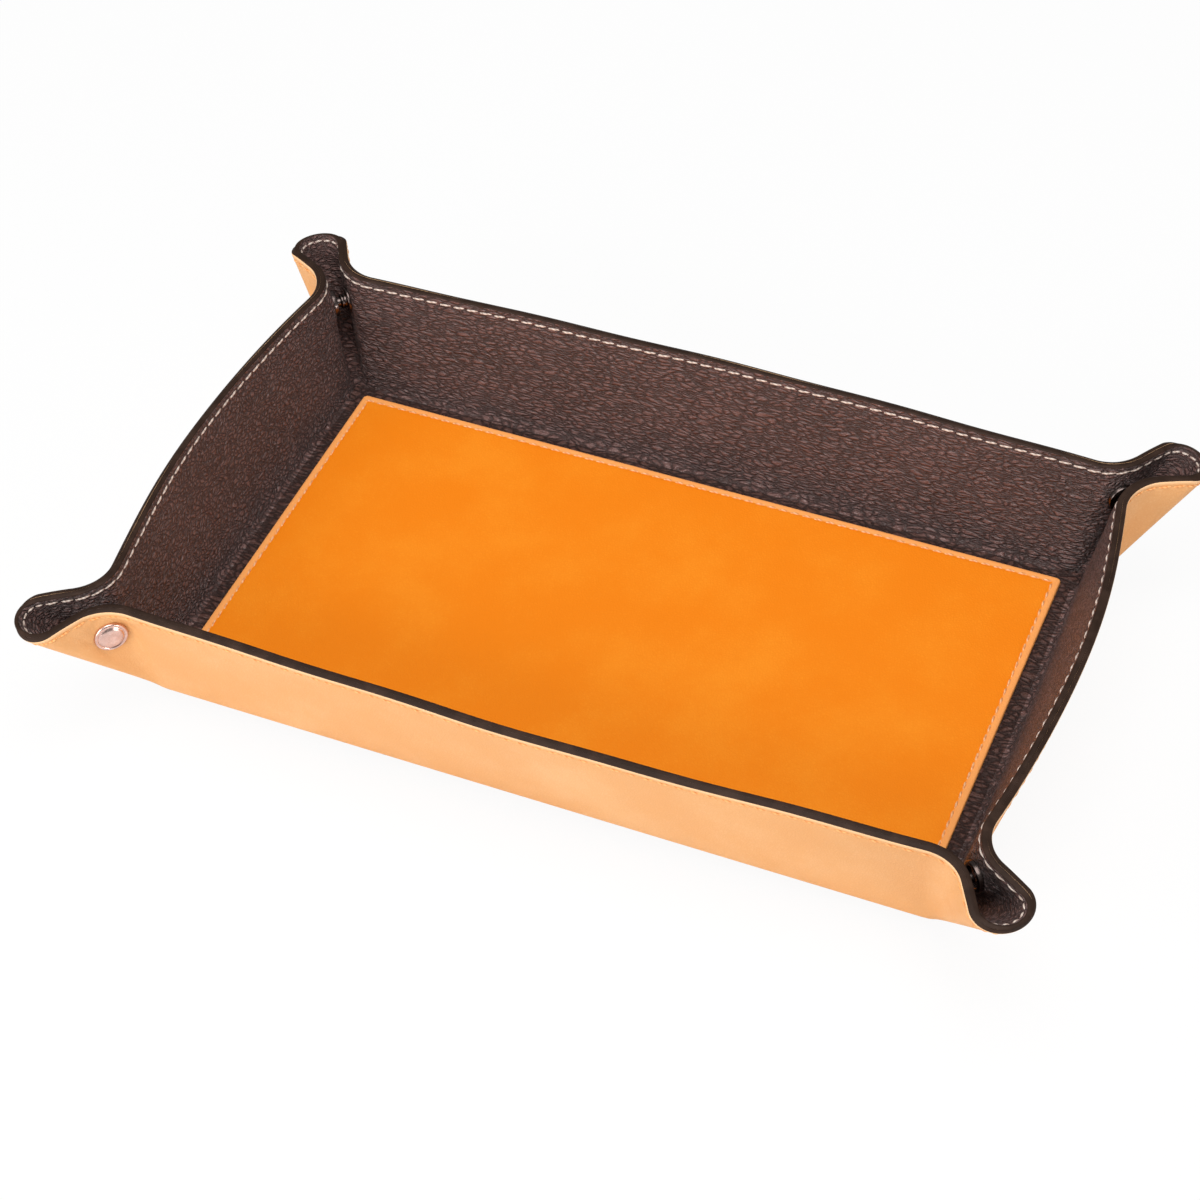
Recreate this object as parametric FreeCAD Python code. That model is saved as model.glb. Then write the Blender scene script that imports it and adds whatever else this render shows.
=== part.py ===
import FreeCAD, Part
import math
import os

from FreeCAD import Vector

# Sizes in millimetres. The leather is measured at the glue line between the outer leather and the lining.
BASE_LENGTH = 230.0  # between the creases of the left and right walls
BASE_WIDTH = 130.0  # between the creases of the front and back walls
BASE_CORNER_RADIUS = 6.0  # of the floor's corners, where the ears start
RIM_HEIGHT = 39.0
LONG_WALL_FLARE = 11.8  # how far the rim stands out past the crease, at the middle of a long wall
SHORT_WALL_FLARE = 14.7  # the same at a short wall
EAR_REACH = 36.0  # from the base's corner to the ear's end along the diagonal, level with the rim
EAR_RADIUS = 7.5  # of the ear's rounded end
EAR_FLANK = 9.4  # the straight part between the neck and the ear's end
EAR_DROP = 3.5  # how much lower the ear's end is than the rim
NECK_RADIUS = 13.5  # of the bend from a wall out into an ear
NECK_HALF_GAP = 4.3  # from the diagonal to the leather, where the neck is narrowest
NECK_FOOT_SHARE = 0.4  # of half a floor corner's arc, that the neck stands on
FLANK_FOOT_SHARE = 0.2  # of the same arc, that the straight part stands on
NECK_FOLD_SHARE = 0.33  # of the neck's bend, that moves with the wall; the rest moves with the ear
EAR_FOLD_SHARE = 0.5  # of half the ear's end, where its leather folds

OUTER_LEATHER = 1.5
LINING = 1.4
GLUE_LINE = 0.1
BOARD = 1.5
PANEL = 1.2
PANEL_MARGIN = 3.6  # bare lining around the floor panel
PANEL_CORNER_RADIUS = 3.0

FLOOR_GAP = 0.3  # between the floor and the walls around it
NECK_FOLD_GAP = 1.0  # between a wall and an ear, which comes closer while it turns
EAR_FOLD_GAP = 0.3  # between an ear's two sections
RIDGE_GAP = 0.9  # between the two halves of an ear, which cross a little while they turn

SNAP_BELOW_RIM = 10.5
CAP_RADIUS = 4.8
CAP_RISE = 1.7
POST_RADIUS = 3.2
POST_HEAD = 0.5  # thickness of the post's head, which is hidden between the two leathers
SHANK_RADIUS = 1.5
SOCKET_RADIUS = 4.2
SOCKET_FLOOR = 0.7
SOCKET_BORE_RADIUS = 2.9
STUD_FLANGE_RADIUS = 4.0
STUD_FLANGE = 0.7
STUD_RADIUS = 2.3
STUD_NOSE = 0.5  # chamfer at the stud's end
SNAP_FIT = 0.1  # between pieces riveted together
SNAP_PLAY = 0.35  # between the stud and the socket

DIAGONAL = Vector(1, 1, 0).normalize()
ASIDE = Vector(-1, 1, 0).normalize()  # across the diagonal, towards the long wall


def on_arc(centre, radius, start, end, share):
    """The point a share of the way along an arc, from one direction to another by the short way."""
    angle = share * math.atan2(start.x * end.y - start.y * end.x, start.dot(end))
    cosine, sine = math.cos(angle), math.sin(angle)
    spoke = Vector(start.x * cosine - start.y * sine, start.x * sine + start.y * cosine, 0)
    return centre + spoke * radius


class HalfCorner:
    """One half of a pinched corner in plan, where x and y are positive.

    Its rim has four stretches that run into each other: the wall's bow, the neck that bends outwards, a straight
    flank and the ear's round end. An offset moves a point outwards from the glue line.
    """

    def __init__(self, beside_long_wall):
        self.beside_long_wall = beside_long_wall
        if beside_long_wall:
            self.outward = Vector(0, 1, 0)
            self.aside = ASIDE
            flare = LONG_WALL_FLARE
            half_depth = BASE_WIDTH / 2
            self.half_run = BASE_LENGTH / 2 - BASE_CORNER_RADIUS
        else:
            self.outward = Vector(1, 0, 0)
            self.aside = ASIDE * -1
            flare = SHORT_WALL_FLARE
            half_depth = BASE_LENGTH / 2
            self.half_run = BASE_WIDTH / 2 - BASE_CORNER_RADIUS
        self.run = Vector(self.outward.y, self.outward.x, 0)
        self.foot_middle = self.outward * half_depth
        corner = Vector(BASE_LENGTH / 2, BASE_WIDTH / 2, 0)
        self.foot_centre = corner - Vector(1, 1, 0) * BASE_CORNER_RADIUS

        ear_along = EAR_REACH - EAR_RADIUS
        neck_aside = NECK_HALF_GAP + NECK_RADIUS
        both_radii = NECK_RADIUS + EAR_RADIUS
        neck_along = ear_along - math.sqrt(both_radii**2 + EAR_FLANK**2 - neck_aside**2)
        self.neck_along = neck_along
        self.ear_centre = corner + DIAGONAL * ear_along
        self.neck_centre = corner + DIAGONAL * neck_along + self.aside * neck_aside

        rim_middle = self.foot_middle + self.outward * flare
        to_neck = self.neck_centre - rim_middle
        rise = to_neck.dot(self.outward)
        self.bow_radius = (to_neck.Length**2 - NECK_RADIUS**2) / (2 * (NECK_RADIUS - rise))
        self.bow_centre = rim_middle - self.outward * self.bow_radius
        self.bow_to_neck = (self.neck_centre - self.bow_centre).normalize()
        to_ear = self.ear_centre - self.neck_centre
        across = (self.aside * to_ear.dot(to_ear) - to_ear * to_ear.dot(self.aside)).normalize()
        away = to_ear * both_radii / to_ear.Length - across * EAR_FLANK
        self.off_flank = away.normalize()  # square to the flank, from the neck's centre

    def rim(self, stretch, share, offset):
        if stretch == "bow":
            radius = self.bow_radius + offset
            return on_arc(self.bow_centre, radius, self.outward, self.bow_to_neck, share)
        if stretch == "neck":
            radius = NECK_RADIUS - offset
            return on_arc(self.neck_centre, radius, self.bow_to_neck * -1, self.off_flank, share)
        if stretch == "flank":
            start = self.rim("neck", 1, offset)
            return start + (self.rim("ear", 0, offset) - start) * share
        radius = EAR_RADIUS + offset
        return on_arc(self.ear_centre, radius, self.off_flank * -1, DIAGONAL, share)

    def foot(self, stretch, share, offset):
        if stretch == "bow":
            return self.foot_middle + self.outward * offset + self.run * (self.half_run * share)
        if stretch == "neck":
            arc_share = NECK_FOOT_SHARE * share
        elif stretch == "flank":
            arc_share = NECK_FOOT_SHARE + FLANK_FOOT_SHARE * share
        else:
            before = NECK_FOOT_SHARE + FLANK_FOOT_SHARE
            arc_share = before + (1 - before) * share
        radius = BASE_CORNER_RADIUS + offset
        return on_arc(self.foot_centre, radius, self.outward, DIAGONAL, arc_share)

    def beside_fold(self, stretch, share, side, gap):
        """The shares at the foot and at the rim that are half a gap before or after a place on a stretch."""
        foot_length = (self.foot(stretch, 1, 0) - self.foot(stretch, 0, 0)).Length
        rim_length = (self.rim(stretch, 1, 0) - self.rim(stretch, 0, 0)).Length
        step = side * gap / 2
        return share + step / foot_length, share + step / rim_length


LONG_HALF = HalfCorner(True)
SHORT_HALF = HalfCorner(False)


class Run:
    """A stretch of one half corner, mirrored into its own quarter, between two pairs of shares at the foot and rim."""

    def __init__(self, half, side_x, side_y, stretch, start, end):
        self.half = half
        self.side_x = side_x
        self.side_y = side_y
        self.stretch = stretch
        self.start = start
        self.end = end

    def spot(self, at_rim, step, offset):
        level = 1 if at_rim else 0
        share = self.start[level] + (self.end[level] - self.start[level]) * step
        trace = self.half.rim if at_rim else self.half.foot
        point = trace(self.stretch, abs(share), offset)
        side_x, side_y = self.side_x, self.side_y
        if share < 0 and self.half.beside_long_wall:
            side_x = -side_x
        elif share < 0:
            side_y = -side_y
        return Vector(point.x * side_x, point.y * side_y, RIM_HEIGHT * level)

    def edge(self, at_rim, offset):
        start, middle, end = (self.spot(at_rim, step, offset) for step in (0, 0.5, 1))
        straight = "flank" if at_rim else "bow"
        if self.stretch == straight:
            return Part.makeLine(start, end)
        return Part.Arc(start, middle, end).toShape()


def band(runs, inner, outer):
    """The solid between two offsets of the glue line, along runs that follow on from each other."""
    faces = []
    rings = {False: [], True: []}
    for offset in (inner, outer):
        for run in runs:
            foot, rim = run.edge(False, offset), run.edge(True, offset)
            faces.append(Part.makeRuledSurface(foot, rim))
            rings[False].append(foot)
            rings[True].append(rim)
    for run, step in ((runs[0], 0), (runs[-1], 1)):
        ends = []
        for at_rim in (False, True):
            end = Part.makeLine(run.spot(at_rim, step, inner), run.spot(at_rim, step, outer))
            rings[at_rim].append(end)
            ends.append(end)
        faces.append(Part.makeRuledSurface(ends[0], ends[1]))
    for edges in rings.values():
        faces.append(Part.Face(Part.Wire(Part.__sortEdges__(edges))))
    shell = Part.Shell(faces)
    shell.sewShape()
    solid = Part.Solid(shell)
    if solid.Volume < 0:
        solid.reverse()
    return solid


def outer_band(runs):
    return band(runs, 0, OUTER_LEATHER)


def lining_band(runs):
    return band(runs, -GLUE_LINE - LINING, -GLUE_LINE)


def wall_runs(half, side_x, side_y):
    """A wall and the start of the neck at each of its ends."""
    fold = half.beside_fold("neck", NECK_FOLD_SHARE, -1, NECK_FOLD_GAP)
    first_x = -side_x if half.beside_long_wall else side_x
    first_y = side_y if half.beside_long_wall else -side_y
    return [
        Run(half, first_x, first_y, "neck", fold, (0, 0)),
        Run(half, side_x, side_y, "bow", (-1, -1), (1, 1)),
        Run(half, side_x, side_y, "neck", (0, 0), fold),
    ]


def flap_runs(half, side_x, side_y):
    """The rest of a neck, the flank and the start of the ear's end."""
    neck_fold = half.beside_fold("neck", NECK_FOLD_SHARE, 1, NECK_FOLD_GAP)
    ear_fold = half.beside_fold("ear", EAR_FOLD_SHARE, -1, EAR_FOLD_GAP)
    return [
        Run(half, side_x, side_y, "neck", neck_fold, (1, 1)),
        Run(half, side_x, side_y, "flank", (0, 0), (1, 1)),
        Run(half, side_x, side_y, "ear", (0, 0), ear_fold),
    ]


def tip_runs(half, side_x, side_y):
    """The rest of the ear's end, up to the ridge on the diagonal."""
    ear_fold = half.beside_fold("ear", EAR_FOLD_SHARE, 1, EAR_FOLD_GAP)
    ridge = half.beside_fold("ear", 1, -1, RIDGE_GAP)
    return [Run(half, side_x, side_y, "ear", ear_fold, ridge)]


class CornerFrame:
    """Places things on a corner's diagonal: along it, across it towards one wall, and up."""

    def __init__(self, half, side_x, side_y):
        self.origin = Vector(side_x * BASE_LENGTH / 2, side_y * BASE_WIDTH / 2, 0)
        self.along = Vector(side_x * DIAGONAL.x, side_y * DIAGONAL.y, 0)
        self.aside = Vector(side_x * half.aside.x, side_y * half.aside.y, 0)

    def point(self, along, aside, up):
        return self.origin + self.along * along + self.aside * aside + Vector(0, 0, up)


def ear_trim(half, side_x, side_y):
    """What is cut off above an ear, where the sheet's corner is rounded."""
    frame = CornerFrame(half, side_x, side_y)
    start = half.neck_along
    length = EAR_REACH + OUTER_LEATHER - start
    radius = (length**2 + EAR_DROP**2) / (2 * EAR_DROP)
    half_angle = math.asin(length / radius) / 2
    above = RIM_HEIGHT + EAR_DROP
    beyond = EAR_REACH + 4 * OUTER_LEATHER
    across = -2 * EAR_RADIUS
    middle_along = start + radius * math.sin(half_angle)
    middle_up = RIM_HEIGHT - radius * (1 - math.cos(half_angle))
    first = frame.point(start, across, RIM_HEIGHT)
    middle = frame.point(middle_along, across, middle_up)
    last = frame.point(start + length, across, RIM_HEIGHT - EAR_DROP)
    outline = [
        Part.Arc(first, middle, last).toShape(),
        Part.makeLine(last, frame.point(beyond, across, RIM_HEIGHT - 2 * EAR_DROP)),
        Part.makeLine(
            frame.point(beyond, across, RIM_HEIGHT - 2 * EAR_DROP), frame.point(beyond, across, above)
        ),
        Part.makeLine(frame.point(beyond, across, above), frame.point(start, across, above)),
        Part.makeLine(frame.point(start, across, above), first),
    ]
    return Part.Face(Part.Wire(outline)).extrude(frame.aside * (4 * EAR_RADIUS))


def rounded_plate(length, width, radius, bottom, thickness):
    plate = Part.makeBox(length, width, thickness, Vector(-length / 2, -width / 2, bottom))
    uprights = [edge for edge in plate.Edges if abs(edge.tangentAt(edge.FirstParameter).z) > 0.5]
    return plate.makeFillet(radius, uprights)


class Snap:
    """One press stud, on an axis across a corner's diagonal. The cap and socket sit on the half given."""

    def __init__(self, half, side_x, side_y):
        self.frame = CornerFrame(half, side_x, side_y)
        self.height = RIM_HEIGHT - SNAP_BELOW_RIM
        self.along, self.outer_face = self.narrowest(OUTER_LEATHER)
        self.glue_face = self.narrowest(0)[1]
        self.inner_face = self.narrowest(-GLUE_LINE - LINING)[1]

    def narrowest(self, offset):
        """How far along and aside of the diagonal the leather's face is at its narrowest, at the snap's height."""
        corner = Vector(BASE_LENGTH / 2, BASE_WIDTH / 2, 0)
        level = self.height / RIM_HEIGHT
        places = []
        for step in range(101):
            foot = LONG_HALF.foot("neck", step / 100, offset)
            rim = LONG_HALF.rim("neck", step / 100, offset)
            point = foot + (rim - foot) * level - corner
            places.append((point.dot(ASIDE), point.dot(DIAGONAL)))
        aside, along = min(places)
        return along, aside

    def turned(self, profile, side):
        """A solid turned about the snap's axis, from (radius, distance from the diagonal) points on one side of it."""
        points = [self.frame.point(self.along + radius, side * aside, self.height) for radius, aside in profile]
        outline = Part.makePolygon(points + points[:1])
        axis_point = self.frame.point(self.along, 0, self.height)
        solid = Part.Face(outline).revolve(axis_point, self.frame.aside, 360)
        if solid.Volume < 0:
            solid.reverse()
        return solid

    def cap(self):
        top = self.outer_face + CAP_RISE
        bead = CAP_RISE / 2
        end = self.inner_face - SOCKET_FLOOR
        return self.turned(
            [
                (0, end),
                (SHANK_RADIUS, end),
                (SHANK_RADIUS, self.outer_face),
                (CAP_RADIUS, self.outer_face),
                (CAP_RADIUS, self.outer_face + bead / 2),
                (CAP_RADIUS - bead / 2, top - bead / 2),
                (CAP_RADIUS - 2 * bead, top),
                (0, top),
            ],
            1,
        )

    def socket(self):
        mouth = -self.inner_face + STUD_FLANGE + SNAP_PLAY
        floor = self.inner_face - SOCKET_FLOOR
        return self.turned(
            [
                (SHANK_RADIUS + SNAP_FIT, self.inner_face),
                (SOCKET_RADIUS, self.inner_face),
                (SOCKET_RADIUS, mouth),
                (SOCKET_BORE_RADIUS, mouth),
                (SOCKET_BORE_RADIUS, floor),
                (SHANK_RADIUS + SNAP_FIT, floor),
            ],
            1,
        )

    def stud(self):
        end = -self.inner_face + SOCKET_FLOOR + SNAP_PLAY
        flange = self.inner_face - STUD_FLANGE
        bore = SHANK_RADIUS + SNAP_FIT
        return self.turned(
            [
                (bore, self.inner_face),
                (STUD_FLANGE_RADIUS, self.inner_face),
                (STUD_FLANGE_RADIUS, flange),
                (STUD_RADIUS, flange),
                (STUD_RADIUS, end + STUD_NOSE),
                (STUD_RADIUS - STUD_NOSE, end),
                (bore, end),
            ],
            -1,
        )

    def post(self):
        top = self.glue_face + POST_HEAD
        end = -self.inner_face + SOCKET_FLOOR + 2 * SNAP_PLAY
        return self.turned(
            [
                (0, end),
                (SHANK_RADIUS, end),
                (SHANK_RADIUS, self.glue_face),
                (POST_RADIUS, self.glue_face),
                (POST_RADIUS, top),
                (0, top),
            ],
            -1,
        )

    def cap_seat(self):
        """What is pressed out of the leather for the cap: a hole for its shank and flat seats on both faces."""
        far = self.outer_face + 4 * CAP_RISE
        hole = SHANK_RADIUS + SNAP_FIT
        inner = SOCKET_RADIUS + SNAP_FIT
        outer = CAP_RADIUS + SNAP_FIT
        return self.turned(
            [
                (0, 0),
                (inner, 0),
                (inner, self.inner_face),
                (hole, self.inner_face),
                (hole, self.outer_face),
                (outer, self.outer_face),
                (outer, far),
                (0, far),
            ],
            1,
        )

    def post_seat(self):
        """The same for the post: a flat seat for the stud, a hole for the shank and a pocket for the head."""
        bottom = self.glue_face - SNAP_FIT
        top = self.glue_face + POST_HEAD + SNAP_FIT
        hole = SHANK_RADIUS + SNAP_FIT
        inner = STUD_FLANGE_RADIUS + SNAP_FIT
        pocket = POST_RADIUS + SNAP_FIT
        return self.turned(
            [
                (0, 0),
                (inner, 0),
                (inner, self.inner_face),
                (hole, self.inner_face),
                (hole, bottom),
                (pocket, bottom),
                (pocket, top),
                (0, top),
            ],
            -1,
        )


CORNERS = {
    "front_left": (-1, -1, {"front": LONG_HALF, "left": SHORT_HALF}, "front"),
    "front_right": (1, -1, {"front": LONG_HALF, "right": SHORT_HALF}, "right"),
    "back_right": (1, 1, {"back": LONG_HALF, "right": SHORT_HALF}, "back"),
    "back_left": (-1, 1, {"back": LONG_HALF, "left": SHORT_HALF}, "left"),
}

WALLS = {
    "front": (LONG_HALF, 1, -1),
    "back": (LONG_HALF, 1, 1),
    "left": (SHORT_HALF, -1, 1),
    "right": (SHORT_HALF, 1, 1),
}


def build():
    """Every part of the tray by name."""
    nodes = {}

    inset = GLUE_LINE + LINING + FLOOR_GAP
    floor_length = BASE_LENGTH - 2 * inset
    floor_width = BASE_WIDTH - 2 * inset
    floor_radius = BASE_CORNER_RADIUS - inset
    level = 0
    for name, thickness in (("base_leather", OUTER_LEATHER), ("base_board", BOARD), ("base_lining", LINING)):
        nodes[name] = rounded_plate(floor_length, floor_width, floor_radius, level, thickness)
        level += thickness
    panel_length = floor_length - 2 * PANEL_MARGIN
    panel_width = floor_width - 2 * PANEL_MARGIN
    nodes["floor_panel"] = rounded_plate(panel_length, panel_width, PANEL_CORNER_RADIUS, level, PANEL)

    for wall, (half, side_x, side_y) in WALLS.items():
        runs = wall_runs(half, side_x, side_y)
        nodes[wall + "_wall_leather"] = outer_band(runs)
        nodes[wall + "_wall_lining"] = lining_band(runs)

    for corner, (side_x, side_y, halves, cap_wall) in CORNERS.items():
        snap = Snap(halves[cap_wall], side_x, side_y)
        nodes[corner + "_cap"] = snap.cap()
        nodes[corner + "_socket"] = snap.socket()
        nodes[corner + "_stud"] = snap.stud()
        nodes[corner + "_post"] = snap.post()
        for wall, half in halves.items():
            seat = snap.cap_seat() if wall == cap_wall else snap.post_seat()
            trim = ear_trim(half, side_x, side_y)
            flap = flap_runs(half, side_x, side_y)
            tip = tip_runs(half, side_x, side_y)
            name = corner + "_" + wall
            nodes[name + "_flap_leather"] = outer_band(flap).cut(trim).cut(seat)
            nodes[name + "_flap_lining"] = lining_band(flap).cut(trim).cut(seat)
            nodes[name + "_tip_leather"] = outer_band(tip).cut(trim)
            nodes[name + "_tip_lining"] = lining_band(tip).cut(trim)
    return nodes


os.makedirs("parts", exist_ok=True)
for node, shape in build().items():
    shape.exportStep("parts/" + node + ".step")
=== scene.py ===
"""A leather valet tray: a pinched double sheet, a sewn floor panel, rim stitching and press studs."""

import logging
import math
from dataclasses import dataclass, field
from enum import Enum
from functools import cached_property
from typing import Any, Mapping, Sequence, Union

import bmesh
import bpy
import numpy as np
from mathutils import Matrix, Vector


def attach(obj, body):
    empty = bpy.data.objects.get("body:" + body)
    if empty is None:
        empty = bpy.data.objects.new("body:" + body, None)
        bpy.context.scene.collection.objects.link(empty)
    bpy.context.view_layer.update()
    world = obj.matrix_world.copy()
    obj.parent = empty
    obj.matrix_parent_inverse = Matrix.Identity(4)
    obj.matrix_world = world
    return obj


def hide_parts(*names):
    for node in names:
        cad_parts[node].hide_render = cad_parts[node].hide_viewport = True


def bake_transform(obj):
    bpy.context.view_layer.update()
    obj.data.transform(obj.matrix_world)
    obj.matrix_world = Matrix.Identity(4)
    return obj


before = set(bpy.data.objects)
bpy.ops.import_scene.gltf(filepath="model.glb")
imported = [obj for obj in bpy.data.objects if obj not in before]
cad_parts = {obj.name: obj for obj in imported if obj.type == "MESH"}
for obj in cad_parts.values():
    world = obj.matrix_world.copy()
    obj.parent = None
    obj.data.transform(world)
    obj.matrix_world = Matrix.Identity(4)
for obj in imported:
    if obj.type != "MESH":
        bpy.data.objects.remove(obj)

LOG = logging.getLogger("valet_tray")
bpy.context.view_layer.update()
MM = 0.001
DIAGONAL = np.array([1.0, 1.0]) / math.sqrt(2.0)
EAR_START = 3.0
RIDGE = 4.0
SHARP_EDGE = math.radians(42.0)
LEAST_RADIUS = 0.2

Number = Union[float, "Signal"]
Colour = tuple[float, float, float]
Pairs = tuple[tuple[float, float], ...]


class Layer(Enum):
    """The two leathers that are glued back to back."""

    OUTER = "leather"
    LINING = "lining"


class Wall(Enum):
    """The four walls, by where they stand."""

    FRONT = "front"
    BACK = "back"
    LEFT = "left"
    RIGHT = "right"

    @property
    def beside_long(self) -> bool:
        """Whether it is a long wall."""
        return self in (Wall.FRONT, Wall.BACK)

    @property
    def side(self) -> int:
        """Which way it faces along its axis."""
        return -1 if self in (Wall.FRONT, Wall.LEFT) else 1

    def sides(self, end: int) -> tuple[int, int]:
        """Signs of x and y at one of its ends."""
        return (end, self.side) if self.beside_long else (self.side, end)

    def corner(self, end: int) -> "Corner":
        """The corner at one of its ends."""
        return next(corner for corner in Corner if corner.value[:2] == self.sides(end))


class Corner(Enum):
    """The four corners: signs of x and y, and the wall that carries the press stud's cap."""

    FRONT_LEFT = (-1, -1, Wall.FRONT)
    FRONT_RIGHT = (1, -1, Wall.RIGHT)
    BACK_RIGHT = (1, 1, Wall.BACK)
    BACK_LEFT = (-1, 1, Wall.LEFT)

    @property
    def label(self) -> str:
        """The corner's part of a piece's name."""
        return self.name.lower()

    @property
    def walls(self) -> list[Wall]:
        """The two walls that meet there, the one with the cap first."""
        met = [wall for wall in Wall for end in (-1, 1) if wall.corner(end) is self]
        return sorted(met, key=lambda wall: wall is not self.value[2])


def smooth_step(value: np.ndarray, low: float, high: float) -> np.ndarray:
    """Eases from 0 at one value to 1 at another.

    Args:
        value: What is eased.
        low: Where the result is 0.
        high: Where the result is 1.

    Returns:
        The eased values.
    """
    share = np.clip((value - low) / (high - low), 0.0, 1.0)
    return share * share * (3.0 - 2.0 * share)


def unit(vectors: np.ndarray) -> np.ndarray:
    """Vectors along the last axis, made one long."""
    return vectors / np.linalg.norm(vectors, axis=-1, keepdims=True)


def on_arc(
    centre: np.ndarray, radius: float, start: np.ndarray, end: np.ndarray, share: np.ndarray
) -> np.ndarray:
    """Places points on an arc that turns from one direction to another by the short way.

    Args:
        centre: The arc's centre in plan.
        radius: Its radius.
        start: Unit direction of its first point from the centre.
        end: Unit direction of its last point.
        share: How far along the arc each point is, from 0 to 1.

    Returns:
        One point in plan for each share.
    """
    turn = math.atan2(start[0] * end[1] - start[1] * end[0], float(start @ end))
    cosine, sine = np.cos(turn * share), np.sin(turn * share)
    spokes = np.stack([start[0] * cosine - start[1] * sine, start[0] * sine + start[1] * cosine], -1)
    return centre + spokes * radius


@dataclass(frozen=True)
class SheetSizes:
    """Sizes of the folded leather in millimetres, as the solids have them."""

    length: float = 230.0
    width: float = 130.0
    corner_radius: float = 6.0
    rim_height: float = 39.0
    long_flare: float = 11.8
    short_flare: float = 14.7
    ear_reach: float = 36.0
    ear_radius: float = 7.5
    ear_flank: float = 9.4
    ear_drop: float = 3.5
    neck_radius: float = 13.5
    neck_half_gap: float = 4.3
    neck_foot_share: float = 0.4
    flank_foot_share: float = 0.2
    leather: float = 1.5
    floor_top: float = 4.4
    snap_height: float = 28.5
    crease_radius: float = 2.2
    ripple: float = 0.3

    @cached_property
    def corner(self) -> np.ndarray:
        """Where the creases of two walls cross, in plan."""
        return np.array([self.length, self.width]) / 2.0

    @cached_property
    def neck_along(self) -> float:
        """How far out along the diagonal the neck's bend is centred."""
        across = self.neck_half_gap + self.neck_radius
        reach = math.sqrt((self.neck_radius + self.ear_radius) ** 2 + self.ear_flank**2 - across**2)
        return self.ear_reach - self.ear_radius - reach


@dataclass(frozen=True)
class HalfCorner:
    """One half of a pinched corner, in the quarter where x and y are positive.

    A place on it counts from 0 in the middle of its wall to 1 where the neck starts, 2 where the straight
    flank starts, 3 where the ear's round end starts and 4 at its ridge. An offset moves a point outwards from
    the glue line.
    """

    sizes: SheetSizes
    beside_long: bool

    @cached_property
    def outward(self) -> np.ndarray:
        """The way the wall faces."""
        return np.array([0.0, 1.0]) if self.beside_long else np.array([1.0, 0.0])

    @cached_property
    def aside(self) -> np.ndarray:
        """Across the diagonal, towards the wall."""
        return np.array([-1.0, 1.0]) / math.sqrt(2.0) * (1.0 if self.beside_long else -1.0)

    @cached_property
    def foot_middle(self) -> np.ndarray:
        """The middle of the wall's crease."""
        return self.outward * self.sizes.corner

    @cached_property
    def half_run(self) -> float:
        """Half the straight length of the wall's crease."""
        return float(self.outward[::-1] @ self.sizes.corner) - self.sizes.corner_radius

    @cached_property
    def foot_centre(self) -> np.ndarray:
        """Centre of the floor's rounded corner."""
        return self.sizes.corner - self.sizes.corner_radius

    @cached_property
    def ear_centre(self) -> np.ndarray:
        """Centre of the ear's rounded end."""
        return self.sizes.corner + DIAGONAL * (self.sizes.ear_reach - self.sizes.ear_radius)

    @cached_property
    def neck_centre(self) -> np.ndarray:
        """Centre of the neck's bend."""
        across = self.sizes.neck_half_gap + self.sizes.neck_radius
        return self.sizes.corner + DIAGONAL * self.sizes.neck_along + self.aside * across

    @cached_property
    def bow_radius(self) -> float:
        """Radius of the wall's bow, which runs on into the neck's bend."""
        radius = self.sizes.neck_radius
        to_neck = self.neck_centre - self.rim_middle
        rise = float(to_neck @ self.outward)
        return float((to_neck @ to_neck - radius**2) / (2.0 * (radius - rise)))

    @cached_property
    def rim_middle(self) -> np.ndarray:
        """The middle of the wall's rim."""
        flare = self.sizes.long_flare if self.beside_long else self.sizes.short_flare
        return self.foot_middle + self.outward * flare

    @cached_property
    def bow_centre(self) -> np.ndarray:
        """Centre of the wall's bow."""
        return self.rim_middle - self.outward * self.bow_radius

    @cached_property
    def to_neck(self) -> np.ndarray:
        """From the bow's centre to the neck's."""
        return unit(self.neck_centre - self.bow_centre)

    @cached_property
    def off_flank(self) -> np.ndarray:
        """Square to the flank, from the neck's centre."""
        way = unit(self.ear_centre - self.neck_centre)
        across = unit(self.aside - way * float(way @ self.aside))
        return unit(way * (self.sizes.neck_radius + self.sizes.ear_radius) - across * self.sizes.ear_flank)

    def rim(self, place: np.ndarray, offset: float) -> np.ndarray:
        """Points of the untrimmed rim in plan.

        Args:
            place: Places along the half corner.
            offset: Distance outwards from the glue line.

        Returns:
            One point for each place.
        """
        sizes = self.sizes
        inner, outer = sizes.neck_radius - offset, sizes.ear_radius + offset
        wide = self.bow_radius + offset
        bow = on_arc(self.bow_centre, wide, self.outward, self.to_neck, np.clip(place, 0, 1))
        neck = on_arc(self.neck_centre, inner, -self.to_neck, self.off_flank, np.clip(place - 1, 0, 1))
        start, end = self.neck_centre + self.off_flank * inner, self.ear_centre - self.off_flank * outer
        flank = start + np.outer(place - 2, end - start)
        ear = on_arc(self.ear_centre, outer, -self.off_flank, DIAGONAL, np.clip(place - 3, 0, 1.1))
        before = [(place < stop)[:, None] for stop in (1, 2, 3)]
        return np.select(before, [bow, neck, flank], ear)

    def foot_direction(self, place: np.ndarray) -> np.ndarray:
        """The way the crease faces in plan at each place."""
        first = self.sizes.neck_foot_share
        second = first + self.sizes.flank_foot_share
        turned = np.interp(place, (1, 2, 3, 4, 5), (0, first, second, 1, 2 - second))
        return on_arc(np.zeros(2), 1.0, self.outward, DIAGONAL, turned)

    def foot(self, place: np.ndarray, offset: float) -> np.ndarray:
        """Points of the crease in plan.

        Args:
            place: Places along the half corner.
            offset: Distance outwards from the glue line.

        Returns:
            One point for each place.
        """
        along = np.outer(place, self.outward[::-1]) * self.half_run
        straight = self.foot_middle + self.outward * offset + along
        round_corner = self.foot_centre + self.foot_direction(place) * (self.sizes.corner_radius + offset)
        return np.where((place < 1)[:, None], straight, round_corner)

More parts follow.
